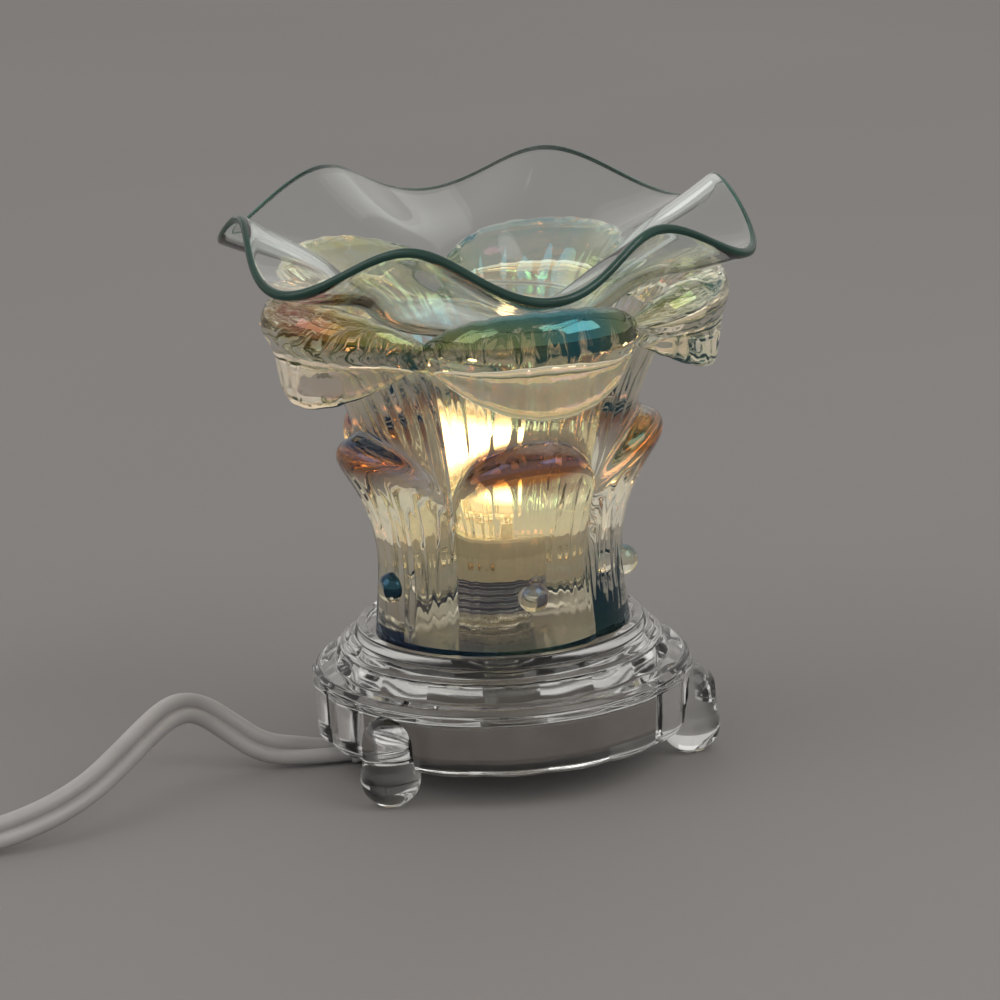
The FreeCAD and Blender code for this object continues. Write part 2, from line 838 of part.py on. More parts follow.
def bottom_cover():
    """Dark cup that closes the hollow and hides the wires."""
    outer = hollow_radius - cover_fit
    cup = revolved([
        (0, cover_floor_z),
        (outer - cover_bevel, cover_floor_z),
        (outer, cover_floor_z + cover_bevel),
        (outer, cover_floor_z + cover_height),
        (outer - cover_wall, cover_floor_z + cover_height),
        (outer - cover_wall, cover_floor_z + cover_floor),
        (0, cover_floor_z + cover_floor),
    ])
    hole = cylinder(relief_neck_radius + relief_neck_fit, cover_floor_z - overrun,
                    cover_floor_z + cover_floor + overrun)
    return cup.cut(moved(hole, Vector(relief_x, 0, 0)))


def bevelled_ring(place, side, width, height, bevel):
    """A rectangle with bevelled corners that stands about a point, broad to one side."""
    across = width / 2
    up = height / 2
    outline = [
        (-across + bevel, -up), (across - bevel, -up), (across, -up + bevel), (across, up - bevel),
        (across - bevel, up), (-across + bevel, up), (-across, up - bevel), (-across, -up + bevel),
    ]
    return [place + side * out + UP * lift for out, lift in outline]


def cord_relief():
    """Angled strain relief: a neck through the cover, a root below it and a tapered tail."""
    neck = moved(cylinder(relief_neck_radius, cover_floor_z - overrun, cover_floor_z + cover_floor),
                 Vector(relief_x, 0, 0))
    half = relief_root_length / 2
    root_height = cover_floor_z - relief_root_bottom_z
    sections = (
        (half, root_height, relief_root_width),
        (-half, root_height, relief_root_width),
        (-half - relief_bevel, root_height / 2 + relief_tip_height / 2, relief_root_width),
        (-relief_reach, relief_tip_height, relief_tip_width),
    )
    rings = []
    for along, height, width in sections:
        low = relief_root_bottom_z if along > -relief_reach else relief_tip_z - relief_tip_height / 2
        middle = Vector(relief_x + along, 0, low + height / 2)
        rings.append(bevelled_ring(middle, Vector(0, 1, 0), width, height, relief_bevel))
    body = faceted(rings, True)
    body.rotate(Vector(relief_x, 0, 0), UP, relief_yaw)
    return joined([neck, body])


def rounded(start, corner, end):
    """An arc that leaves a start and reaches an end as if towards a corner between them."""
    arriving = (corner - start).normalize()
    leaving = (end - corner).normalize()
    half_turn = arriving.getAngle(leaving) / 2
    inward = (leaving - arriving).normalize()
    reach = corner.distanceToPoint(start)
    radius = reach / math.tan(half_turn)
    middle = corner + inward * (radius / math.cos(half_turn) - radius)
    return Part.Arc(start, middle, end).toShape(), radius


def arc_path(points):
    """Straight runs joined by tangent arcs, and the radius of each arc."""
    reach_share = 0.45
    edges = []
    radii = []
    last = points[0]
    for before, corner, after in zip(points, points[1:], points[2:]):
        reach = reach_share * min(corner.distanceToPoint(before), after.distanceToPoint(corner))
        start = corner + (before - corner).normalize() * reach
        end = corner + (after - corner).normalize() * reach
        arc, radius = rounded(start, corner, end)
        edges += [Part.LineSegment(last, start).toShape(), arc]
        radii.append(radius)
        last = end
    edges.append(Part.LineSegment(last, points[-1]).toShape())
    return Part.Wire(edges), radii


def flat_cord(path, start, heading):
    """The flat cord along a path, its section square to the start and broad side level."""
    side = UP.cross(heading).normalize()
    rise = heading.cross(side).normalize()
    across = side * (cord_width / 2)
    up = rise * (cord_thickness / 2)
    corners = [start + across + up, start - across + up, start - across - up, start + across - up]
    section = Part.makePolygon(corners + corners[:1])
    pipe = Part.BRepOffsetAPI.MakePipeShell(path)
    pipe.setBiNormalMode(UP)
    pipe.add(section)
    pipe.build()
    pipe.makeSolid()
    tube = pipe.shape()
    expected = Part.Face(section).Area * path.Length
    print("cord volume", round(tube.Volume), "of", round(expected), "length", round(path.Length))
    return tube


def cord_lead():
    """The open stretch of cord, swept from the coil so that it meets it level."""
    points = list(reversed(CORD_ROUTE))
    path, radii = arc_path(points)
    print("lead radii", [round(radius, 1) for radius in radii])
    return flat_cord(path, points[0], (points[1] - points[0]).normalize())


coil_pitch = cord_width + coil_gap
layer_pitch = cord_thickness + coil_gap
coil_outer_radius = coil_middle_radius + coil_pitch * coil_turns_in / 2
coil_start = CORD_ROUTE[-1]
coil_heading = (coil_start - CORD_ROUTE[-2]).normalize()


def coil_height(turns):
    """Rise of the coil after a number of turns: it climbs where the spiral turns back."""
    share = min(max((turns - coil_turns_in) / climb_turns + 1 / 2, 0), 1)
    return layer_pitch * share * share * (3 - 2 * share)


def coil_radius(turns):
    """Radius of the coil after a number of turns: in on the lower layer, out on the upper one, with
    a dip inwards where it climbs."""
    away = abs(turns - coil_turns_in)
    dip = coil_dip * math.cos(math.pi * min(away, climb_turns) / climb_turns / 2) ** 2
    return coil_outer_radius - coil_pitch * (coil_turns_in - away) - dip


def spiral_point(turns):
    """A point of the coil about its own centre, wound clockwise from +X."""
    angle = -turns * 2 * math.pi
    radius = coil_radius(turns)
    return Vector(radius * math.cos(angle), radius * math.sin(angle), coil_height(turns))


def spiral_heading(turns):
    """The coil's heading about its own centre, level at its ends."""
    step = 1 / 8
    return (spiral_point(turns + step) - spiral_point(turns - step)).normalize()


def coil_turn():
    """The turn that brings the coil's first heading onto the cord's."""
    return Rotation(spiral_heading(0), coil_heading)


def coil_point(turns):
    """A point of the coil where it lies."""
    first = coil_start + coil_heading * cord_width
    return first + coil_turn().multVec(spiral_point(turns) - spiral_point(0))


def biarc(start, heading, end, end_heading):
    """Two arcs that leave one point along its heading and reach another along its own."""
    gap = end - start
    both = heading + end_heading
    square = 2 * (heading.dot(end_heading) - 1)
    across = gap.dot(both)
    reach = (across - math.sqrt(across ** 2 - square * gap.dot(gap))) / square
    corner = start + heading * reach
    end_corner = end - end_heading * reach
    middle = (corner + end_corner) / 2
    return [rounded(start, corner, middle)[0], rounded(middle, end_corner, end)[0]]


def coil_gap_to_itself():
    """Least gap between two turns, measured on points of the coil."""
    steps = 24
    points = [coil_point(step / steps) for step in range(int(coil_turns * steps) + 1)]
    gaps = []
    for number, point in enumerate(points):
        for other in points[number + steps // 2:]:
            level = math.hypot(other.x - point.x, other.y - point.y)
            gaps.append(max(level - cord_width, abs(other.z - point.z) - cord_thickness))
    return min(gaps)


def cord_coil():
    """The put-away cord: a two-layer coil that spirals in on the table and out on top."""
    quarters = round(coil_turns * 4)
    places = [number / 4 for number in range(quarters + 1)]
    headings = [coil_turn().multVec(spiral_heading(place)) for place in places]
    points = [coil_point(place) for place in places]
    edges = [Part.LineSegment(coil_start, points[0]).toShape()]
    for number in range(quarters):
        edges += biarc(points[number], headings[number], points[number + 1], headings[number + 1])
    edges.append(Part.LineSegment(points[-1], coil_end()).toShape())
    print("coil least gap to itself", round(coil_gap_to_itself(), 2))
    return flat_cord(Part.Wire(edges), coil_start, coil_heading)


def end_heading():
    """The coil's last heading."""
    return coil_turn().multVec(spiral_heading(coil_turns))


def coil_end():
    """Where the coil's straight end stops."""
    return coil_point(coil_turns) + end_heading() * cord_width


def plug_points():
    """The route from the coil to the plug, where it lies."""
    left = UP.cross(end_heading())
    return [coil_end() + end_heading() * run.x + left * run.y for run in PLUG_ROUTE]


def cord_end():
    """The short stretch of cord from the coil to the plug."""
    points = plug_points()
    path, radii = arc_path(points)
    print("end radii", [round(radius, 1) for radius in radii])
    return flat_cord(path, points[0], end_heading())


def cord_tie():
    """A flat band round all the turns at one place of the coil."""
    crossings = [tie_turns + number for number in range(int(coil_turns - tie_turns) + 1)]
    radii = [coil_radius(place) for place in crossings]
    inner = min(radii) - cord_width / 2 - tie_side_gap
    outer = max(radii) + cord_width / 2 + tie_side_gap
    low = -cord_thickness / 2 - tie_gap
    high = layer_pitch + cord_thickness / 2 + tie_gap
    room = block(Vector(inner, -tie_width, low), Vector(outer, tie_width, high))
    band = block(
        Vector(inner - tie_thickness, -tie_width / 2, low - tie_thickness),
        Vector(outer + tie_thickness, tie_width / 2, high + tie_thickness),
    )
    band = band.cut(room)
    band.rotate(AXIS, UP, -tie_turns * FULL_TURN)
    band.Placement = FreeCAD.Placement(AXIS, coil_turn()).multiply(band.Placement)
    centre = coil_point(0) - coil_turn().multVec(spiral_point(0))
    return moved(band, centre)


def plug_frame():
    """Where the plug starts, its heading and the direction to its left."""
    points = plug_points()
    heading = (points[-1] - points[-2]).normalize()
    return points[-1], heading, UP.cross(heading)


def plug_body():
    """Moulded plug that widens from its neck to its face."""
    start, heading, left = plug_frame()
    sections = (
        (0, plug_neck_width, plug_neck_thickness),
        (plug_shoulder, plug_width, plug_thickness),
        (plug_length, plug_width, plug_thickness),
    )
    return faceted([
        bevelled_ring(start + heading * along, left, width, thickness, plug_bevel)
        for along, width, thickness in sections
    ], True)


def plug_blades():
    """Two flat blades with a round hole near the tip."""
    blades = []
    for side in (-1, 1):
        middle = side * blade_pitch / 2
        blade = block(
            Vector(0, middle - blade_thickness / 2, -blade_height / 2),
            Vector(blade_length, middle + blade_thickness / 2, blade_height / 2),
        )
        hole = Part.makeCylinder(
            blade_hole_radius, 2 * blade_thickness,
            Vector(blade_length - blade_hole_inset, middle - blade_thickness, 0), Vector(0, 1, 0),
        )
        blades.append(blade.cut(hole))
    start, heading, _ = plug_frame()
    pair = Part.makeCompound(blades)
    pair.Placement = FreeCAD.Placement(start + heading * plug_length, Rotation(Vector(1, 0, 0), heading))
    return pair


def main():
    """Builds every sub-part and writes it to its own file."""
    nodes = {
        "glass_base": glass_base(),
        "petal_shade": petal_shade(),
        "melt_dish": melt_dish(),
        "threaded_tube": threaded_tube(),
        "lock_nuts": lock_nuts(),
        "washers": washers(),
        "holder_saddle": holder_saddle(),
        "holder_lower": holder_lower(),
        "holder_upper": holder_upper(),
        "contact_left": contact(-1),
        "contact_right": contact(1),
        "terminal_screws": terminal_screws(),
        "bulb_glass": bulb_glass(),
        "bulb_pins": bulb_pins(),
        "bulb_filament": bulb_filament(),
        "holder_leads": holder_leads(),
        "crimps": crimps(),
        "cord_tails": cord_tails(),
        "bottom_cover": bottom_cover(),
        "cord_relief": cord_relief(),
        "cord_lead": cord_lead(),
        "cord_coil": cord_coil(),
        "cord_tie": cord_tie(),
        "cord_end": cord_end(),
        "plug_body": plug_body(),
        "plug_blades": plug_blades(),
    }
    os.makedirs("parts", exist_ok=True)
    for name, shape in nodes.items():
        print(name, shape.isValid(), len(shape.Solids), round(shape.Volume, 1))
        shape.exportStep("parts/" + name + ".step")


main()
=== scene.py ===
"""Looks of a wax melt warmer: pressed glass pedestal, halogen lamp in its holder, petalled lustre
glass shade, ruffled dish and a flat twin cord. Metres, +Z up, the front is -Y. Sizes are in
millimetres and become metres where a mesh is made.
"""

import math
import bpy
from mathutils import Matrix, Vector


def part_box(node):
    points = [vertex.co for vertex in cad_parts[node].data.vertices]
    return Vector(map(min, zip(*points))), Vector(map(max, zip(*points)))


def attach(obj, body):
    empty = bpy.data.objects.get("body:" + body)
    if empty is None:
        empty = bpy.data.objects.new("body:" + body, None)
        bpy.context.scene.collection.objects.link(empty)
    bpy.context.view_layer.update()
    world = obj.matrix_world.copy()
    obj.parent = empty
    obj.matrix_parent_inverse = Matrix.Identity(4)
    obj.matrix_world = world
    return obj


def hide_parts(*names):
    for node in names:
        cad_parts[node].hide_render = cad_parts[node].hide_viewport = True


bl_info = {
    "name": "Wax Melt Warmer",
    "version": (1, 0, 0),
    "blender": (4, 5, 0),
    "location": "View3D > Sidebar > Warmer",
    "description": "Builds the glass, lamp and cord of a wax melt warmer round its solid parts",
    "category": "Add Mesh",
}

import bmesh
import bpy
import numpy as np
from bpy.props import FloatProperty, FloatVectorProperty, IntProperty, PointerProperty
from mathutils import Matrix, Vector

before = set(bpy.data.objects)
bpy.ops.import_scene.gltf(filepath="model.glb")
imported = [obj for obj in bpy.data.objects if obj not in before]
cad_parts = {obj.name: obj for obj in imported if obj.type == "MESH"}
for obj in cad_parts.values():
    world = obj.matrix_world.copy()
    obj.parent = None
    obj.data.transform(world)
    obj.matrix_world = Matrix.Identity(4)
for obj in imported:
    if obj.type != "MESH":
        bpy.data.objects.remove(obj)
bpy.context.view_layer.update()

MM = 0.001
UP = Vector((0, 0, 1))

# Petals, beads and feet stand at these azimuths, from the front towards +X
PETALS = 5
PETAL_AZIMUTH = 15.5
FOOT_AZIMUTH = -37.0
HOLDER_AZIMUTH = -30.0
RECESS_Z = 32.9

# Lamp holder: from pin to pin, and outside of the ceramic
PIN_PITCH = 6.35
CERAMIC_RADIUS = 10.8
# Middle of the lit filament
FILAMENT_Z = 78.5

# Shade profile: radius and height on a petal's middle line, then in the valley, as shares of the
# petal's reach and the shade's height, and how the section fades between them
PROFILE_SHARES = (
    (0.423, 0.000, 0.423, 0.000, "round"),
    (0.419, 0.150, 0.419, 0.150, "round"),
    (0.412, 0.320, 0.412, 0.320, "round"),
    (0.419, 0.480, 0.419, 0.480, "round"),
    (0.454, 0.610, 0.450, 0.600, "round"),
    (0.519, 0.735, 0.509, 0.705, "petal"),
    (0.605, 0.852, 0.574, 0.790, "petal"),
    (0.704, 0.938, 0.629, 0.850, "petal"),
    (0.799, 0.995, 0.667, 0.884, "petal"),
    (0.868, 1.017, 0.691, 0.900, "petal"),
    (0.940, 1.009, 0.711, 0.907, "petal"),
    (0.992, 0.967, 0.729, 0.906, "petal"),
    (1.000, 0.914, 0.739, 0.898, "petal"),
    (0.973, 0.882, 0.742, 0.889, "petal"),
    (0.965, 0.840, 0.742, 0.882, "flap"),
    (0.955, 0.775, 0.740, 0.873, "flap"),
    (0.940, 0.722, 0.737, 0.865, "flap"),
    (0.909, 0.706, 0.730, 0.857, "flap"),
    (0.880, 0.735, 0.722, 0.850, "flap"),
    (0.876, 0.800, 0.711, 0.842, "flap"),
    (0.858, 0.860, 0.700, 0.834, "petal"),
    (0.812, 0.888, 0.680, 0.820, "petal"),
    (0.756, 0.854, 0.650, 0.790, "petal"),
    (0.700, 0.782, 0.610, 0.735, "petal"),
    (0.648, 0.700, 0.562, 0.650, "petal"),
    (0.612, 0.640, 0.520, 0.545, "leaf"),
    (0.608, 0.606, 0.490, 0.440, "leaf"),
    (0.650, 0.600, 0.487, 0.425, "leaf"),
    (0.698, 0.583, 0.485, 0.412, "leaf"),
    (0.716, 0.545, 0.483, 0.398, "leaf"),
    (0.680, 0.500, 0.481, 0.382, "leaf"),
    (0.614, 0.435, 0.478, 0.350, "leaf"),
    (0.552, 0.352, 0.474, 0.300, "leaf"),
    (0.518, 0.260, 0.470, 0.240, "lobe"),
    (0.519, 0.150, 0.480, 0.140, "lobe"),
    (0.536, 0.055, 0.492, 0.050, "lobe"),
    (0.543, 0.000, 0.500, 0.000, "lobe"),
)
FADE_SHARES = {
    "round": (2.0, 1.0),
    "petal": (2.6, 0.9),
    "flap": (1.7, 1.0),
    "leaf": (2.2, 0.8),
    "lobe": (2.2, 1.0),
}
POLE_SHARES = (-1.0, -0.94, -0.8, -0.58, -0.3, 0.0, 0.3, 0.58, 0.8, 0.94, 1.0)
DISH_SHARES = (
    (0.00, 0.00, 0.00),
    (0.10, 0.02, 0.00),
    (0.24, 0.30, 0.12),
    (0.42, 0.57, 0.40),
    (0.66, 0.74, 0.70),
    (0.85, 0.87, 0.88),
    (1.00, 1.00, 1.00),
)

# Depth of the fine ribs along the shade's profile: profile row, then millimetres
RIB_DEPTHS = (
    (0, 0.0), (1.5, 0.26), (5, 0.3), (7, 0.36), (8.5, 0.28), (10, 0.12), (12, 0.07), (14, 0.16),
    (19, 0.16), (22.5, 0.28), (24.5, 0.14), (26, 0.0), (29.5, 0.0), (31, 0.15), (34.5, 0.2),
    (36, 0.0),
)

# Three waves that make up the ribs: share of the depth, pace, sway and start
RIB_WAVES = ((0.50, 1.0, 0.7, 0.0), (0.32, 1.63, 0.0, 1.3), (0.18, 2.71, 0.0, 2.1))

# Painted shade and reflection, dark brown-orange in the glass of the leaves' rolled rims, with
# fainter bands at the foot and the petals' lips: height, its reach up and down, the radius where it
# begins and how fast it grows, and its strength
PAINTED_SHADE_BANDS = (
    (80.5, 8.0, 31.0, 4.0, 1.75), (38.0, 8.0, 25.5, 4.0, 0.3), (103.0, 8.0, 49.0, 5.0, 0.12),
)

# Outline of the base: radius, height and depth of its scallops, round the glass and the hollow
BASE_OUTLINE = (
    (44.4, 8.0, 0.9), (45.5, 8.9, 0.9), (46.2, 22.2, 0.9), (45.3, 22.25, 0.0), (45.3, 23.2, 0.0),
    (44.1, 24.4, 0.0), (40.4, 24.4, 0.8), (39.0, 28.4, 0.8), (38.9, 28.45, 0.0), (38.9, 29.3, 0.0),
    (37.9, 29.35, 0.7), (36.7, 31.3, 0.7), (35.3, 31.35, 0.0), (34.4, 33.9, 0.0), (32.1, 33.9, 0.0),
    (32.1, 32.9, 0.0), (5.3, 32.9, 0.0), (5.3, 26.9, 0.0), (30.0, 26.9, 0.0), (37.2, 19.0, 0.0),
    (37.2, 8.0, 0.0),
)

# Route of the cord from the strain relief to the coil
CORD_ROUTE = (
    (-37.71, -3.50, 2.40), (-48.36, -5.30, 3.30), (-58.5, -6.4, 4.8), (-66.0, -6.2, 10.4),
    (-71.8, -7.2, 15.2), (-76.4, -10.6, 17.6), (-80.6, -16.4, 17.8), (-84.8, -24.2, 16.2),
    (-90.2, -33.8, 13.4), (-97.4, -44.8, 9.6), (-107.0, -53.6, 6.6), (-119.0, -60.2, 4.4),
    (-135.0, -64.4, 3.4), (-153.0, -67.0, 2.45), (-171.0, -70.6, 2.45),
)
# Route from the coil to the plug: along and to the left of the coil's last heading
PLUG_ROUTE = ((0.0, 0.0), (17.0, 0.0), (35.0, 2.5))
# Turn of the strain relief towards the front, in degrees
RELIEF_YAW = 9.6
# Lean of the cord's broad side towards the front: millimetres along the cord, degrees
CORD_LEAN = ((0.0, 0.0), (16.0, 55.0), (50.0, 66.0), (118.0, 68.0), (162.0, 0.0))


class StageSettings(bpy.types.PropertyGroup):
    """Camera, floor and studio light."""

    camera_distance: FloatProperty(
        name="Camera Distance", description="From the camera to its target", default=1.1,
        unit="LENGTH")
    camera_pitch: FloatProperty(
        name="Camera Pitch", description="How far the camera looks down",
        default=math.radians(15.76), subtype="ANGLE")
    camera_roll: FloatProperty(
        name="Camera Roll", description="Turn of the camera about its view",
        default=math.radians(-2.41), subtype="ANGLE")
    camera_lens: FloatProperty(
        name="Focal Length", description="On a 36 mm sensor", default=165.5, unit="CAMERA")
    camera_shift: FloatProperty(
        name="Shift", description="Of the picture to the side, as a share of its width",
        default=0.005)
    target_height: FloatProperty(
        name="Target Height", description="Height of the point that the camera looks at",
        default=0.0628, unit="LENGTH")
    floor_radius: FloatProperty(
        name="Floor Radius", description="Radius of the round floor", default=4.0, unit="LENGTH")
    floor_colour: FloatVectorProperty(
        name="Floor Colour", description="Colour of the floor", default=(0.275, 0.265, 0.262),
        subtype="COLOR", min=0.0, max=1.0)
    surround_level: FloatProperty(
        name="Surround Level", description="Strength of the even light from all round",
        default=0.55, min=0.0)
    key_power: FloatProperty(
        name="Key Light", description="Power of the large lamp at the right",
        default=5.5, unit="POWER")
    fill_power: FloatProperty(
        name="Fill Light", description="Power of the large lamp at the left",
        default=3.6, unit="POWER")
    back_power: FloatProperty(
        name="Back Light", description="Power of the large lamp behind",
        default=2.6, unit="POWER")


class CordSettings(bpy.types.PropertyGroup):
    """Flat twin cord, its coil and its plug, in millimetres."""

    width: FloatProperty(name="Cord Width", description="Across both cores", default=7.5)
    thickness: FloatProperty(name="Core Diameter", description="Of one insulated core", default=3.8)
    web: FloatProperty(name="Web", description="Thickness between the cores", default=1.3)
    coil_turns: FloatProperty(name="Coil Turns", description="Turns put away", default=5.25)
    turns_in: FloatProperty(
        name="Turns Inwards", description="Turns of the lower layer", default=2.5)
    coil_pitch: FloatProperty(name="Coil Pitch", description="From turn to turn", default=8.1)
    layer_pitch: FloatProperty(name="Layer Pitch", description="From layer to layer", default=4.4)
    coil_radius: FloatProperty(
        name="Coil Radius", description="At the outermost turn", default=50.125)
    coil_dip: FloatProperty(
        name="Coil Dip", description="How far the turn that climbs dips inwards", default=7.0)
    climb_turns: FloatProperty(
        name="Climb", description="Turns over which the coil climbs", default=0.4)
    points_per_turn: IntProperty(
        name="Points per Turn", description="Control points of a coil's turn", default=20)
    section_steps: IntProperty(
        name="Section Steps", description="Facets round each core", default=12)
    plug_ribs: IntProperty(name="Plug Ribs", description="Grip ribs on each side", default=5)


class GlassSettings(bpy.types.PropertyGroup):
    """Base, shade and dish, in millimetres."""

    lobes: IntProperty(name="Lobes", description="Scallops round the base", default=18)
    lobe_azimuth: FloatProperty(name="Lobe Azimuth", description="Of one scallop", default=22.9)
    lobe_columns: IntProperty(name="Lobe Columns", description="Facets of a scallop", default=12)
    edge_easing: FloatProperty(
        name="Edge Easing", description="Reach of the base's rounded edges", default=0.55)
    petal_reach: FloatProperty(
        name="Petal Reach", description="From the axis to a petal's lip", default=58.2)
    shade_height: FloatProperty(
        name="Shade Height", description="Height of the petals' profile", default=86.5)
    petal_columns: IntProperty(name="Petal Columns", description="Facets of a petal", default=52)
    profile_rows: IntProperty(
        name="Profile Rows", description="Facets along the profile", default=230)
    petal_ribs: IntProperty(name="Petal Ribs", description="Fine ribs of a petal", default=10)
    bead_radius: FloatProperty(name="Bead Radius", description="Of the beads", default=3.7)
    bead_ring: FloatProperty(
        name="Bead Ring", description="From the axis to a bead's middle", default=30.0)
    bead_rise: FloatProperty(
        name="Bead Height", description="Above the shade's foot", default=14.2)
    dish_waves: IntProperty(name="Dish Waves", description="Waves of the rim", default=6)
    wave_azimuth: FloatProperty(name="Wave Azimuth", description="Of one crest", default=43.2)
    rim_radius: FloatProperty(name="Rim Radius", description="Mean radius", default=61.4)
    rim_sway: FloatProperty(name="Rim Sway", description="Wave of the radius", default=3.3)
    dish_depth: FloatProperty(name="Dish Depth", description="Floor to rim", default=21.3)
    rim_wave: FloatProperty(name="Rim Wave", description="Wave of the height", default=5.5)
    dish_glass: FloatProperty(name="Dish Glass", description="Glass thickness", default=2.3)
    dish_floor: FloatProperty(name="Dish Floor", description="Radius of the flat", default=24.0)
    dish_columns: IntProperty(name="Dish Columns", description="Facets round the dish", default=288)


class LampSettings(bpy.types.PropertyGroup):
    """Holder and bulb, in millimetres."""

    saddle_radius: FloatProperty(
        name="Saddle Radius", description="Outside of the metal cup", default=10.4)
    saddle_ridges: IntProperty(
        name="Saddle Ridges", description="Rolled ridges round the cup", default=4)
    thread_pitch: FloatProperty(name="Thread Pitch", description="Of the tube", default=1.0)
    capsule_radius: FloatProperty(
        name="Capsule Radius", description="Outside of the bulb", default=5.8)
    filament_turns: IntProperty(
        name="Filament Turns", description="Turns of its coil", default=16)
    glow_colour: FloatVectorProperty(
        name="Glow Colour", description="Of the lit filament", default=(1.0, 0.58, 0.19),
        subtype="COLOR", min=0.0, max=1.0)
    glow_strength: FloatProperty(
        name="Glow Strength", description="Of the lit filament", default=1100.0)


class WarmerSettings(bpy.types.PropertyGroup):
    """All the settings of the warmer."""

    stage: PointerProperty(type=StageSettings)
    cord: PointerProperty(type=CordSettings)
    glass: PointerProperty(type=GlassSettings)
    lamp: PointerProperty(type=LampSettings)


# Meshes

def around(radius, azimuth, height):
    """A point at a radius and height, its azimuth in degrees from the front towards +X."""
    turn = math.radians(azimuth)
    return Vector((radius * math.sin(turn), -radius * math.cos(turn), height))


def point_outwards(mesh):
    """Turns a closed mesh right side out."""
    mesh.calc_loop_triangles()
    count = len(mesh.vertices)
    places = np.empty(count * 3)
    mesh.vertices.foreach_get("co", places)
    corners = np.empty(len(mesh.loop_triangles) * 3, dtype=np.int32)
    mesh.loop_triangles.foreach_get("vertices", corners)
    a, b, c = np.moveaxis(places.reshape(-1, 3)[corners.reshape(-1, 3)], 1, 0)
    if np.einsum("ij,ij->i", a, np.cross(b, c)).sum() < 0:
        mesh.flip_normals()


def smooth_piece(name, points, faces, finish, crease=40.0):
    """A new smooth object from points in millimetres, sharp where its faces turn far."""
    mesh = bpy.data.meshes.new(name)
    mesh.from_pydata([tuple(float(part) * MM for part in point) for point in points], [], faces)
    mesh.validate()
    point_outwards(mesh)
    soften(mesh, crease)
    piece = bpy.data.objects.new(name, mesh)
    bpy.context.scene.collection.objects.link(piece)
    mesh.materials.append(finish)
    return piece


def soften(mesh, crease):
    """Smooth shading, with sharp edges where faces turn by more than the crease in degrees."""
    mesh.shade_smooth()
    mesh.set_sharp_from_angle(angle=math.radians(crease))


def ring_faces(rows, columns, looped):
    """Faces between rows of a grid that closes round its columns."""
    faces = []
    for row in range(rows if looped else rows - 1):
        here = row * columns
        there = (row + 1) % rows * columns
        for column in range(columns):
            after = (column + 1) % columns
            faces.append((here + column, here + after, there + after, there + column))
    return faces


def ringed(name, rings, finish, looped=False, crease=40.0):
    """A piece through closed rings of points, its ends closed by fans, or its last ring joined to
    its first."""
    columns = len(rings[0])
    points = [tuple(point) for ring in rings for point in ring]
    faces = ring_faces(len(rings), columns, looped)
    if not looped:
        for start in (0, len(points) - columns):
            ring = np.array(points[start:start + columns], dtype=float)
            middle = len(points)
            points.append(tuple(ring.mean(axis=0)))
            for column in range(columns):
                edge = (start + (column + 1) % columns, start + column)
                faces.append((middle, *edge) if start == 0 else (middle, edge[1], edge[0]))
    return smooth_piece(name, points, faces, finish, crease)


def eased(outline, reach, steps):
    """A closed outline whose corners are rounded within a reach of each corner, and within less
    than half of each side."""
    most = 0.42
    points = [np.array(point, dtype=float) for point in outline]
    result = []
    for number, corner in enumerate(points):
        before = points[number - 1]
        after = points[(number + 1) % len(points)]
        sides = []
        for other in (before, after):
            span = np.linalg.norm((other - corner)[:2])
            sides.append(corner + (other - corner) * min(reach / max(span, 1e-6), most))
        for step in range(steps + 1):
            t = step / steps
            result.append(
                sides[0] * (1 - t) ** 2 + corner * 2 * t * (1 - t) + sides[1] * t ** 2)
    return result


def lathed(name, outline, finish, columns=64, looped=False, crease=40.0, place=None):
    """A turned piece from (radius, height) pairs, upright unless a place matrix is given."""
    rings = [
        [around(radius, 360 * column / columns, height) for column in range(columns)]
        for radius, height in outline
    ]
    if place is not None:
        rings = [[place @ point for point in ring] for ring in rings]
    return ringed(name, rings, finish, looped, crease)


def made_plain(piece):
    """Keeps what a piece's modifiers make as its own mesh."""
    graph = bpy.context.evaluated_depsgraph_get()
    mesh = bpy.data.meshes.new_from_object(piece.evaluated_get(graph))
    old = piece.data
    piece.modifiers.clear()
    piece.data = mesh
    bpy.data.meshes.remove(old)
    return piece


def combined(piece, others, operation="UNION", crease=40.0):
    """Fuses other closed pieces into a piece, or cuts them out of it."""
    for other in others:
        modifier = piece.modifiers.new("fuse", "BOOLEAN")
        modifier.operation = operation
        modifier.solver = "EXACT"
        modifier.object = other
    made_plain(piece)
    for other in others:
        bpy.data.objects.remove(other)
    soften(piece.data, crease)
    return piece


def merged(name, pieces):
    """One piece from several that stand apart or overlap."""
    form = bmesh.new()
    finishes = []
    for piece in pieces:
        mesh = piece.data.copy()
        for face in mesh.polygons:
            finish = piece.data.materials[face.material_index]
            if finish not in finishes:
                finishes.append(finish)
            face.material_index = finishes.index(finish)
        form.from_mesh(mesh)
        bpy.data.meshes.remove(mesh)
        bpy.data.objects.remove(piece)
    mesh = bpy.data.meshes.new(name)
    form.to_mesh(mesh)
    form.free()
    for finish in finishes:
        mesh.materials.append(finish)
    whole = bpy.data.objects.new(name, mesh)
    bpy.context.scene.collection.objects.link(whole)
    return whole


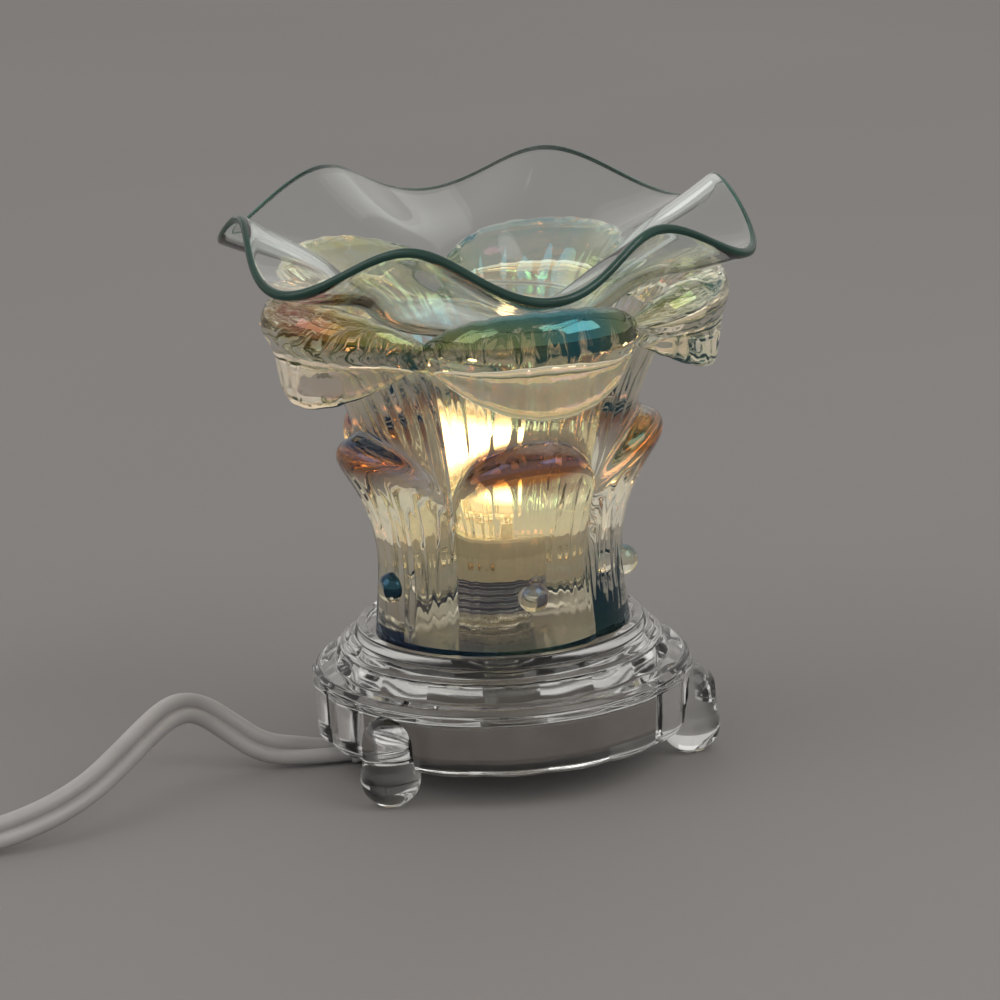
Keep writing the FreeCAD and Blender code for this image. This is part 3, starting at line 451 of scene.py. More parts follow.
def smooth_copy(name, node, finish, crease=32.0, bevel=0.0):
    """A merged, smooth copy of a solid part, its edges eased by a bevel in millimetres."""
    form = bmesh.new()
    form.from_mesh(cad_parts[node].data)
    bmesh.ops.remove_doubles(form, verts=form.verts, dist=1e-6)
    bmesh.ops.dissolve_limit(
        form, angle_limit=math.radians(1.0), verts=form.verts, edges=form.edges)
    mesh = bpy.data.meshes.new(name)
    form.to_mesh(mesh)
    form.free()
    mesh.materials.append(finish)
    piece = bpy.data.objects.new(name, mesh)
    bpy.context.scene.collection.objects.link(piece)
    if bevel:
        modifier = piece.modifiers.new("edges", "BEVEL")
        modifier.width = bevel * MM
        modifier.segments = 3
        modifier.limit_method = "ANGLE"
        modifier.angle_limit = math.radians(40)
        modifier.use_clamp_overlap = True
        made_plain(piece)
    soften(piece.data, crease)
    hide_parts(node)
    return piece


def placed(piece, body):
    """Ties a finished piece to its body."""
    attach(piece, body)
    return piece


def repeat_tree():
    """Node tree that repeats a piece along a step and round the upright axis."""
    if "Repeat Piece" in bpy.data.node_groups:
        return bpy.data.node_groups["Repeat Piece"]
    tree = bpy.data.node_groups.new("Repeat Piece", "GeometryNodeTree")
    tree.is_modifier = True
    face = tree.interface
    face.new_socket(name="Piece", in_out="INPUT", socket_type="NodeSocketGeometry")
    face.new_socket(name="Count", in_out="INPUT", socket_type="NodeSocketInt")
    face.new_socket(name="Step", in_out="INPUT", socket_type="NodeSocketVector")
    face.new_socket(name="First Turn", in_out="INPUT", socket_type="NodeSocketFloat")
    face.new_socket(name="Turn", in_out="INPUT", socket_type="NodeSocketFloat")
    face.new_socket(name="Finish", in_out="INPUT", socket_type="NodeSocketMaterial")
    face.new_socket(name="Pieces", in_out="OUTPUT", socket_type="NodeSocketGeometry")
    nodes, links = tree.nodes, tree.links
    given = nodes.new("NodeGroupInput")
    result = nodes.new("NodeGroupOutput")
    index = nodes.new("GeometryNodeInputIndex")
    offset = nodes.new("ShaderNodeVectorMath")
    offset.operation = "SCALE"
    links.new(given.outputs["Step"], offset.inputs[0])
    links.new(index.outputs[0], offset.inputs["Scale"])
    points = nodes.new("GeometryNodePoints")
    links.new(given.outputs["Count"], points.inputs["Count"])
    links.new(offset.outputs[0], points.inputs["Position"])
    turn = nodes.new("ShaderNodeMath")
    turn.operation = "MULTIPLY_ADD"
    links.new(index.outputs[0], turn.inputs[0])
    links.new(given.outputs["Turn"], turn.inputs[1])
    links.new(given.outputs["First Turn"], turn.inputs[2])
    spin = nodes.new("ShaderNodeCombineXYZ")
    links.new(turn.outputs[0], spin.inputs["Z"])
    copies = nodes.new("GeometryNodeInstanceOnPoints")
    links.new(points.outputs[0], copies.inputs["Points"])
    links.new(given.outputs["Piece"], copies.inputs["Instance"])
    links.new(spin.outputs[0], copies.inputs["Rotation"])
    real = nodes.new("GeometryNodeRealizeInstances")
    links.new(copies.outputs[0], real.inputs[0])
    finish = nodes.new("GeometryNodeSetMaterial")
    links.new(real.outputs[0], finish.inputs["Geometry"])
    links.new(given.outputs["Finish"], finish.inputs["Material"])
    links.new(finish.outputs[0], result.inputs[0])
    return tree


def repeated(piece, count, finish, step=(0.0, 0.0, 0.0), first_turn=0.0, turn=0.0):
    """Repeats a piece with the node tree: steps in millimetres, turns in degrees."""
    modifier = piece.modifiers.new("repeat", "NODES")
    modifier.node_group = repeat_tree()
    values = {
        "Count": count,
        "Step": [part * MM for part in step],
        "First Turn": math.radians(first_turn),
        "Turn": math.radians(turn),
        "Finish": finish,
    }
    for socket in modifier.node_group.interface.items_tree:
        if socket.in_out == "INPUT" and socket.name in values:
            modifier[socket.identifier] = values[socket.name]
    return made_plain(piece)


def spline_line(name, points, resolution):
    """Points along a smooth spline through control points in metres, as the spline gives them."""
    curve = bpy.data.curves.new(name, "CURVE")
    curve.dimensions = "3D"
    spline = curve.splines.new("NURBS")
    spline.points.add(len(points) - 1)
    for knot, point in zip(spline.points, points):
        knot.co = (*point, 1.0)
    spline.order_u = 3
    spline.use_endpoint_u = True
    spline.resolution_u = resolution
    curve.resolution_u = resolution
    guide = bpy.data.objects.new(name, curve)
    bpy.context.scene.collection.objects.link(guide)
    graph = bpy.context.evaluated_depsgraph_get()
    mesh = bpy.data.meshes.new_from_object(guide.evaluated_get(graph))
    line = [vertex.co.copy() for vertex in mesh.vertices]
    bpy.data.meshes.remove(mesh)
    bpy.data.objects.remove(guide)
    bpy.data.curves.remove(curve)
    return line


def wire_piece(name, route, radius, finish, sides=14):
    """A round wire along a smooth line through a route in millimetres."""
    line = [point / MM for point in spline_line(name, [Vector(p) * MM for p in route], 8)]
    rings = []
    across = None
    for number, point in enumerate(line):
        heading = line[min(number + 1, len(line) - 1)] - line[max(number - 1, 0)]
        heading.normalize()
        if across is None:
            across = heading.orthogonal().normalized()
        across = (across - heading * across.dot(heading)).normalized()
        other = heading.cross(across)
        rings.append([
            point + (across * math.cos(turn) + other * math.sin(turn)) * radius
            for turn in (2 * math.pi * side / sides for side in range(sides))
        ])
    return ringed(name, rings, finish)


# Materials

def new_finish(name, **values):
    """A new principled material. Underscores in a value's name stand for spaces."""
    finish = bpy.data.materials.new(name)
    finish.use_nodes = True
    shader = finish.node_tree.nodes["Principled BSDF"]
    for key, value in values.items():
        socket = shader.inputs[key.replace("_", " ")]
        socket.default_value = (*value, 1.0) if socket.type == "RGBA" else value
    return finish


def shader_of(finish):
    """The principled shader of a material."""
    return finish.node_tree.nodes["Principled BSDF"]


def pattern(finish, scale, detail, stretch=(1.0, 1.0, 1.0)):
    """A noise on the object's own coordinates, its scale per metre."""
    nodes, links = finish.node_tree.nodes, finish.node_tree.links
    place = nodes.new("ShaderNodeTexCoord")
    mapping = nodes.new("ShaderNodeMapping")
    mapping.inputs["Scale"].default_value = stretch
    texture = nodes.new("ShaderNodeTexNoise")
    texture.inputs["Scale"].default_value = scale
    texture.inputs["Detail"].default_value = detail
    links.new(place.outputs["Object"], mapping.inputs["Vector"])
    links.new(mapping.outputs["Vector"], texture.inputs["Vector"])
    return texture.outputs[0]


def height_on(finish):
    """The height of a point on the object's own coordinates, in metres."""
    nodes, links = finish.node_tree.nodes, finish.node_tree.links
    place = nodes.new("ShaderNodeTexCoord")
    parts = nodes.new("ShaderNodeSeparateXYZ")
    links.new(place.outputs["Object"], parts.inputs[0])
    return parts.outputs["Z"]


def vary_colour(finish, source, stops):
    """Colours the surface by a pattern: stops are (place, colour)."""
    nodes, links = finish.node_tree.nodes, finish.node_tree.links
    ramp = nodes.new("ShaderNodeValToRGB")
    elements = ramp.color_ramp.elements
    while len(elements) < len(stops):
        elements.new(0.5)
    for element, (place, colour) in zip(elements, stops):
        element.position = place
        element.color = (*colour, 1.0)
    links.new(source, ramp.inputs[0])
    links.new(ramp.outputs[0], shader_of(finish).inputs["Base Color"])
    return ramp.outputs[0]


def vary_value(finish, source, name, low, high, start=0.3, end=0.7):
    """Lets one of the shader's numbers follow a pattern."""
    nodes, links = finish.node_tree.nodes, finish.node_tree.links
    spread = nodes.new("ShaderNodeMapRange")
    spread.inputs["From Min"].default_value = start
    spread.inputs["From Max"].default_value = end
    spread.inputs["To Min"].default_value = low
    spread.inputs["To Max"].default_value = high
    links.new(source, spread.inputs["Value"])
    links.new(spread.outputs[0], shader_of(finish).inputs[name])


def add_bump(finish, source, strength, distance):
    """Adds relief from a pattern, its distance in millimetres."""
    nodes, links = finish.node_tree.nodes, finish.node_tree.links
    bump = nodes.new("ShaderNodeBump")
    bump.inputs["Strength"].default_value = strength
    bump.inputs["Distance"].default_value = distance * MM
    target = shader_of(finish).inputs["Normal"]
    if target.is_linked:
        links.new(target.links[0].from_socket, bump.inputs["Normal"])
    links.new(source, bump.inputs["Height"])
    links.new(bump.outputs[0], target)


def clear_glass():
    """Colourless pressed glass with the faint waves and softness of its mould."""
    finish = new_finish(
        "clear pressed glass", Base_Color=(0.97, 0.98, 0.97), Roughness=0.02, IOR=1.5,
        Transmission_Weight=1.0)
    waves = pattern(finish, 55.0, 2.0)
    vary_colour(finish, waves, ((0.3, (0.985, 0.985, 0.975)), (0.7, (0.94, 0.955, 0.95))))
    vary_value(finish, pattern(finish, 140.0, 3.0), "Roughness", 0.03, 0.085)
    add_bump(finish, waves, 0.15, 0.3)
    add_bump(finish, pattern(finish, 420.0, 2.0), 0.05, 0.1)
    return finish


def lustre_glass():
    """Pressed glass with a thin metal oxide lustre that shifts from gold to rose, green and blue,
    weaker on the body than on the petals. Its gold tint is partly the lustre's and partly painted
    warm light of the bulb; the dark brown-orange of the leaves' rolled rims is painted shade and
    reflection."""
    finish = new_finish(
        "lustre glass", Base_Color=(0.98, 0.97, 0.93), Roughness=0.02, IOR=1.5,
        Transmission_Weight=1.0)
    nodes, links = finish.node_tree.nodes, finish.node_tree.links
    clouds = pattern(finish, 42.0, 3.0, (1.0, 1.0, 0.55))
    # Gold tint in patches: partly the lustre's own, partly painted warm light of the bulb
    tint = vary_colour(finish, clouds, (
        (0.26, (0.98, 0.98, 0.87)), (0.38, (1.0, 0.965, 0.79)), (0.50, (1.0, 0.93, 0.68)),
        (0.62, (1.0, 0.92, 0.74)), (0.76, (0.99, 0.93, 0.87))))
    # The 'lustre' attribute marks painted shade and reflection: dark brown-orange glass, weaker
    # thin film
    painted_shade = nodes.new("ShaderNodeAttribute")
    painted_shade.attribute_name = "lustre"
    blend = nodes.new("ShaderNodeMix")
    blend.data_type = "RGBA"
    links.new(painted_shade.outputs["Fac"], blend.inputs[0])
    links.new(tint, blend.inputs[6])
    # Dark brown-orange of the painted shade and reflection
    blend.inputs[7].default_value = (0.26, 0.055, 0.006, 1.0)
    links.new(blend.outputs[2], shader_of(finish).inputs["Base Color"])
    vary_value(finish, pattern(finish, 15.0, 2.0), "Thin Film Thickness", 180.0, 262.0, 0.36, 0.64)
    vary_value(finish, height_on(finish), "Thin Film IOR", 1.72, 2.02, 0.078, 0.106)
    film = shader_of(finish).inputs["Thin Film IOR"]
    thin = nodes.new("ShaderNodeMix")
    links.new(painted_shade.outputs["Fac"], thin.inputs[0])
    links.new(film.links[0].from_socket, thin.inputs[2])
    thin.inputs[3].default_value = 1.7
    links.new(thin.outputs[0], film)
    vary_value(finish, pattern(finish, 160.0, 3.0), "Roughness", 0.01, 0.045)
    add_bump(finish, pattern(finish, 90.0, 2.0, (1.0, 1.0, 0.5)), 0.4, 0.4)
    add_bump(finish, pattern(finish, 260.0, 2.0, (1.0, 1.0, 0.35)), 0.3, 0.15)
    return finish


def dish_glass():
    """Clear float glass of the dish, green where one looks through much of it."""
    finish = new_finish(
        "float glass", Base_Color=(0.96, 0.985, 0.97), Roughness=0.008, IOR=1.5,
        Transmission_Weight=1.0)
    vary_value(finish, pattern(finish, 60.0, 3.0), "Roughness", 0.004, 0.02)
    vary_colour(finish, pattern(finish, 20.0, 2.0), (
        (0.3, (0.965, 0.985, 0.97)), (0.7, (0.945, 0.975, 0.96))))
    add_bump(finish, pattern(finish, 30.0, 1.0), 0.15, 0.4)
    absorb_green(finish)
    return finish


def absorb_green(finish):
    """Lets the glass take up red and blue light along the way through it."""
    nodes, links = finish.node_tree.nodes, finish.node_tree.links
    depth = nodes.new("ShaderNodeVolumeAbsorption")
    depth.inputs["Color"].default_value = (0.20, 0.76, 0.62, 1.0)
    depth.inputs["Density"].default_value = 11.0
    links.new(depth.outputs[0], nodes["Material Output"].inputs["Volume"])


def dish_edge():
    """The flame-polished edge of the dish, dark green along the sheet."""
    finish = new_finish(
        "green glass edge", Base_Color=(0.06, 0.26, 0.19), Roughness=0.05, IOR=1.5,
        Transmission_Weight=0.8)
    vary_colour(finish, pattern(finish, 70.0, 3.0), (
        (0.3, (0.03, 0.19, 0.135)), (0.7, (0.09, 0.36, 0.27))))
    vary_value(finish, pattern(finish, 200.0, 3.0), "Roughness", 0.03, 0.09)
    absorb_green(finish)
    return finish


def lamp_glass():
    """Quartz glass of the bulb, warm from the light inside and brightest beside the filament."""
    finish = new_finish(
        "quartz glass", Base_Color=(1.0, 0.97, 0.9), Roughness=0.03, IOR=1.46,
        Transmission_Weight=1.0, Emission_Color=(1.0, 0.74, 0.40))
    nodes, links = finish.node_tree.nodes, finish.node_tree.links
    rise = nodes.new("ShaderNodeMath")
    rise.operation = "SUBTRACT"
    rise.inputs[1].default_value = FILAMENT_Z * MM
    away = nodes.new("ShaderNodeMath")
    away.operation = "ABSOLUTE"
    links.new(height_on(finish), rise.inputs[0])
    links.new(rise.outputs[0], away.inputs[0])
    vary_value(finish, away.outputs[0], "Emission Strength", 2.4, 0.15, 0.001, 0.0068)
    vary_value(finish, pattern(finish, 300.0, 3.0), "Roughness", 0.02, 0.09)
    add_bump(finish, pattern(finish, 260.0, 2.0), 0.1, 0.2)
    return finish


def metal(name, colour, dark, low, high, stretch=(1.0, 1.0, 1.0)):
    """A metal with worn and cleaner places and fine tool marks."""
    finish = new_finish(name, Base_Color=colour, Metallic=1.0, Roughness=low)
    wear = pattern(finish, 130.0, 6.0)
    vary_colour(finish, wear, ((0.35, dark), (0.6, colour)))
    marks = pattern(finish, 900.0, 3.0, stretch)
    vary_value(finish, marks, "Roughness", low, high)
    add_bump(finish, marks, 0.12, 0.05)
    return finish


def ceramic():
    """Warm white glazed ceramic with faint specks and a softly uneven glaze."""
    finish = new_finish(
        "glazed ceramic", Base_Color=(0.83, 0.77, 0.66), Roughness=0.25, IOR=1.5,
        Subsurface_Weight=0.08, Coat_Weight=0.35, Coat_Roughness=0.12)
    shader_of(finish).inputs["Subsurface Radius"].default_value = (0.002, 0.0015, 0.001)
    vary_colour(finish, pattern(finish, 700.0, 6.0), (
        (0.22, (0.55, 0.47, 0.36)), (0.34, (0.82, 0.76, 0.65)), (0.8, (0.86, 0.81, 0.72))))
    vary_value(finish, pattern(finish, 180.0, 4.0), "Roughness", 0.2, 0.38)
    add_bump(finish, pattern(finish, 240.0, 3.0), 0.2, 0.2)
    return finish


def plastic(name, light, dark, low, high, grain, relief):
    """Moulded plastic with a fine grain and slight stains."""
    finish = new_finish(name, Base_Color=light, Roughness=low, IOR=1.48)
    vary_colour(finish, pattern(finish, 90.0, 5.0), ((0.3, dark), (0.65, light)))
    vary_value(finish, pattern(finish, 260.0, 4.0), "Roughness", low, high)
    add_bump(finish, pattern(finish, grain, 3.0), relief, 0.08)
    return finish


def lit_filament(colour, strength):
    """Coiled tungsten, glowing."""
    finish = new_finish(
        "lit tungsten", Base_Color=(0.4, 0.38, 0.35), Roughness=0.4, Metallic=1.0,
        Emission_Color=colour, Emission_Strength=strength)
    vary_colour(finish, pattern(finish, 900.0, 3.0), (
        (0.3, (0.32, 0.30, 0.28)), (0.7, (0.5, 0.48, 0.45))))
    return finish


FINISHES = {}


def finish_named(name):
    """The material of that name, made once."""
    glow = tuple(bpy.context.scene.warmer.lamp.glow_colour)
    strength = bpy.context.scene.warmer.lamp.glow_strength
    makers = {
        "clear_glass": clear_glass,
        "lustre_glass": lustre_glass,
        "dish_glass": dish_glass,
        "dish_edge": dish_edge,
        "lamp_glass": lamp_glass,
        "plated_steel": lambda: metal(
            "zinc plated steel", (0.70, 0.69, 0.66), (0.52, 0.51, 0.48), 0.22, 0.4),
        # The cup's bright metal is coloured dark blue: painted shade and reflection
        "bright_metal": lambda: metal(
            "bright metal in painted shade", (0.18, 0.20, 0.28), (0.11, 0.12, 0.18), 0.08, 0.2, (1, 1, 8)),
        "porcelain": ceramic,
        "spring_brass": lambda: metal(
            "brass", (0.83, 0.60, 0.28), (0.62, 0.38, 0.18), 0.2, 0.36),
        "filament": lambda: lit_filament(glow, strength),
        "lead_insulation": lambda: plastic(
            "lead insulation", (0.86, 0.86, 0.83), (0.76, 0.75, 0.72), 0.4, 0.55, 600.0, 0.15),
        "crimp_plastic": lambda: plastic(
            "crimp sleeve", (0.78, 0.76, 0.70), (0.68, 0.65, 0.58), 0.4, 0.55, 500.0, 0.2),
        # The cover's dark grey-brown is partly its own colour and partly painted shade of the
        # hollow base
        "cover_plastic": lambda: plastic(
            "brown cover", (0.33, 0.29, 0.265), (0.26, 0.225, 0.205), 0.35, 0.55, 1500.0, 0.35),
        # The cord's white insulation is coloured light grey: painted shade. The plug, the strain
        # relief and the split ends share it
        "cord_plastic": lambda: plastic(
            "cord insulation", (0.46, 0.45, 0.45), (0.41, 0.40, 0.40), 0.34, 0.46, 1200.0, 0.1),
        "tie_plastic": lambda: plastic(
            "tie", (0.03, 0.03, 0.032), (0.018, 0.018, 0.02), 0.5, 0.7, 2200.0, 0.5),
    }
    if name not in FINISHES:
        FINISHES[name] = makers[name]()
    return FINISHES[name]


# Shapes of the glass

def spline_weights(count, places, degree=3):
    """Weights of a clamped spline's poles at places from 0 to 1."""
    spans = count - degree
    knots = np.concatenate([
        np.zeros(degree), np.arange(spans + 1.0), np.full(degree, float(spans))])
    at = np.clip(np.asarray(places) * spans, 0, spans - 1e-9)[:, None]
    weights = ((knots[:-1] <= at) & (at < knots[1:])).astype(float)
    for order in range(1, degree + 1):
        left = knots[order:-1] - knots[:-order - 1]
        right = knots[order + 1:] - knots[1:-order]
        rise = (at - knots[:-order - 1]) / np.where(left > 0, left, 1.0) * (left > 0)
        fall = (knots[order + 1:] - at) / np.where(right > 0, right, 1.0) * (right > 0)
        weights = rise * weights[:, :-1] + fall * weights[:, 1:]
    return weights


def shade_pole(row, share, glass):
    """One pole of the shade's skin, as in the solid."""
    radius, height, valley_radius, valley_height, name = row
    power, shape = FADE_SHARES[name]
    weight = (1 - abs(share) ** power) ** shape
    reach = valley_radius + (radius - valley_radius) * weight
    rise = valley_height + (height - valley_height) * weight
    azimuth = share * 180 / PETALS
    return around(reach * glass.petal_reach, azimuth, RECESS_Z + rise * glass.shade_height)


def petal_grid(glass):
    """Points of the whole shade's skin by profile row and column, with their fine ribs."""
    poles = np.array([
        [shade_pole(row, share, glass) for row in PROFILE_SHARES] for share in POLE_SHARES])
    columns = glass.petal_columns
    rows = glass.profile_rows
    across = np.arange(columns) / columns
    along = np.linspace(0.0, 1.0, rows + 1)
    petal = np.einsum(
        "cu,rv,uvk->rck", spline_weights(len(POLE_SHARES), across),
        spline_weights(len(PROFILE_SHARES), along), poles)
    parts = []
    for number in range(PETALS):
        turn = math.radians(PETAL_AZIMUTH + 360 / PETALS * number)
        spin = np.array([
            [math.cos(turn), -math.sin(turn), 0], [math.sin(turn), math.cos(turn), 0], [0, 0, 1]])
        parts.append(petal @ spin.T)
    grid = np.concatenate(parts, axis=1)
    normals = np.cross(
        np.roll(grid, -1, axis=1) - np.roll(grid, 1, axis=1), np.gradient(grid, axis=0))
    normals /= np.linalg.norm(normals, axis=2, keepdims=True)
    places, depths = zip(*RIB_DEPTHS)
    depth = np.interp(along * (len(PROFILE_SHARES) - 1), places, depths)[:, None]
    share = np.tile(across * 2 - 1, PETALS)[None, :]
    ribs = math.pi * glass.petal_ribs * share
    waves = sum(
        weight * np.cos(pace * ribs + sway * np.sin(5 * share) + start)
        for weight, pace, sway, start in RIB_WAVES)
    calm_valleys = 1 - np.abs(share) ** 10
    return grid + normals * (depth * waves * calm_valleys)[..., None]


def paint_shade_mark(piece):
    """Marks the painted shade and reflection in the 'lustre' attribute, more on one side of each
    petal than on the other.
    """
    mesh = piece.data
    mark = mesh.attributes.new("lustre", "FLOAT", "POINT")
    values = []
    for vertex in mesh.vertices:
        x, y, z = vertex.co / MM
        radius = math.hypot(x, y)
        azimuth = math.atan2(x, -y) - math.radians(PETAL_AZIMUTH)
        painted_shade = 0.0
        for height, reach, inner, fade, strength in PAINTED_SHADE_BANDS:
            near = max(0.0, 1 - abs(z - height) / reach)
            out = min(max((radius - inner) / fade, 0.0), 1.0)
            painted_shade += strength * near * out
        side = 0.78 + 0.22 * math.sin(PETALS * azimuth + math.radians(140))
        values.append(min(1.0, painted_shade * side))
    mark.data.foreach_set("value", values)


def dish_grid(glass):
    """Rings of the dish from the middle of its underside round the rim to the middle on top, and
    the first and last ring of its edge."""
    rows = 40
    weights = spline_weights(len(DISH_SHARES), np.linspace(0, 1, rows + 1))
    shares = weights @ np.array(DISH_SHARES)
    azimuths = np.radians(np.arange(glass.dish_columns) * 360 / glass.dish_columns)
    swing = np.cos(glass.dish_waves * (azimuths - math.radians(glass.wave_azimuth)))
    rim = glass.rim_radius - glass.rim_sway * swing

    def ring(share, out, rise):
        radius = glass.dish_floor + (rim - glass.dish_floor) * share[0] + out
        height = glass.dish_depth * share[1] + glass.rim_wave * swing * share[2] + rise
        return np.stack([radius * np.sin(azimuths), -radius * np.cos(azimuths), height], axis=1)

    lower, upper = [], []
    for row in range(rows + 1):
        before, after = shares[max(row - 1, 0)], shares[min(row + 1, rows)]
        run = (glass.rim_radius - glass.dish_floor) * (after[0] - before[0])
        climb = glass.dish_depth * (after[1] - before[1])
        slope = math.hypot(run, climb)
        out, rise = (-climb / slope, run / slope) if row else (0.0, 1.0)
        lower.append(ring(shares[row], 0, 0))
        upper.append(ring(shares[row], out * glass.dish_glass, rise * glass.dish_glass))
    edge = []
    steps = 8
    for step in range(1, steps):
        turn = math.pi * step / steps
        half = glass.dish_glass / 2
        across = half * (1 - math.cos(turn))
        beyond = half * math.sin(turn) * 0.8
        edge.append(ring(shares[-1], out * across + rise * beyond, rise * across - out * beyond))
    middle = [0.25, 0.5, 0.75, 0.92]
    inner = [lower[0] * [share, share, 1] for share in middle]
    inner_top = [upper[0] * [share, share, 1] for share in middle]
    rings = inner + lower + edge + list(reversed(upper)) + list(reversed(inner_top))
    first = len(inner) + len(lower) - 1
    return rings, first, first + len(edge) + 1


# Operators

class WARMER_OT_stage(bpy.types.Operator):
    """Set the camera, the floor and the studio light"""

    bl_idname = "warmer.stage"
    bl_label = "Set the Stage"

    def execute(self, context):
        stage = context.scene.warmer.stage
        self.place_camera(context, stage)
        self.lay_floor(context, stage)
        self.light(context, stage)
        context.scene.view_settings.view_transform = "Standard"
        return {"FINISHED"}

    def place_camera(self, context, stage):
        """The camera at the front, looking down at the warmer."""
        pitch, roll = stage.camera_pitch, stage.camera_roll
        back = Vector((0, -math.cos(pitch), math.sin(pitch)))
        right = Vector((1, 0, 0))
        up = right.cross(-back)
        level = right * math.cos(roll) + up * math.sin(roll)
        upright = up * math.cos(roll) - right * math.sin(roll)
        eye = Vector((0, 0, stage.target_height)) + back * stage.camera_distance
        camera = bpy.data.cameras.new("camera")
        camera.lens = stage.camera_lens
        camera.sensor_width = 36.0
        camera.shift_x = stage.camera_shift
        camera.clip_start = 0.05
        viewer = bpy.data.objects.new("camera", camera)
        context.scene.collection.objects.link(viewer)
        matrix = Matrix((level, upright, back)).transposed().to_4x4()
        matrix.translation = eye
        viewer.matrix_world = matrix
        context.scene.camera = viewer

    def lay_floor(self, context, stage):
        """A plain round floor under the warmer."""
        columns = 96
        points = [around(stage.floor_radius / MM, 360 * n / columns, 0.0) for n in range(columns)]
        mesh = bpy.data.meshes.new("floor")
        mesh.from_pydata([tuple(point * MM) for point in points], [], [tuple(range(columns))])
        floor = bpy.data.objects.new("floor", mesh)
        context.scene.collection.objects.link(floor)
        colour = tuple(stage.floor_colour)
        finish = new_finish(
            "studio floor", Base_Color=colour, Roughness=0.75, Specular_IOR_Level=0.2)
        vary_colour(finish, pattern(finish, 3.0, 2.0), (
            (0.3, tuple(part * 0.97 for part in colour)),
            (0.7, tuple(min(part * 1.03, 1.0) for part in colour))))
        mesh.materials.append(finish)

    def light(self, context, stage):
        """Even light from all round and three large soft lamps."""
        world = bpy.data.worlds.new("studio")
        world.use_nodes = True
        background = world.node_tree.nodes["Background"]
        background.inputs["Color"].default_value = (1.0, 0.965, 0.93, 1.0)
        background.inputs["Strength"].default_value = stage.surround_level
        context.scene.world = world
        for name, power, size, place in (
            ("key light", stage.key_power, 1.0, (0.95, -0.55, 1.15)),
            ("fill light", stage.fill_power, 1.1, (-1.05, -0.35, 1.05)),
            ("back light", stage.back_power, 1.6, (0.1, 1.4, 1.4)),
        ):
            lamp = bpy.data.lights.new(name, "AREA")
            lamp.energy = power
            lamp.size = size
            lamp.color = (1.0, 0.985, 0.96)
            stand = bpy.data.objects.new(name, lamp)
            context.scene.collection.objects.link(stand)
            stand.location = place
            aim = Vector((0, 0, 0.06)) - Vector(place)
            stand.rotation_euler = aim.to_track_quat("-Z", "Y").to_euler()


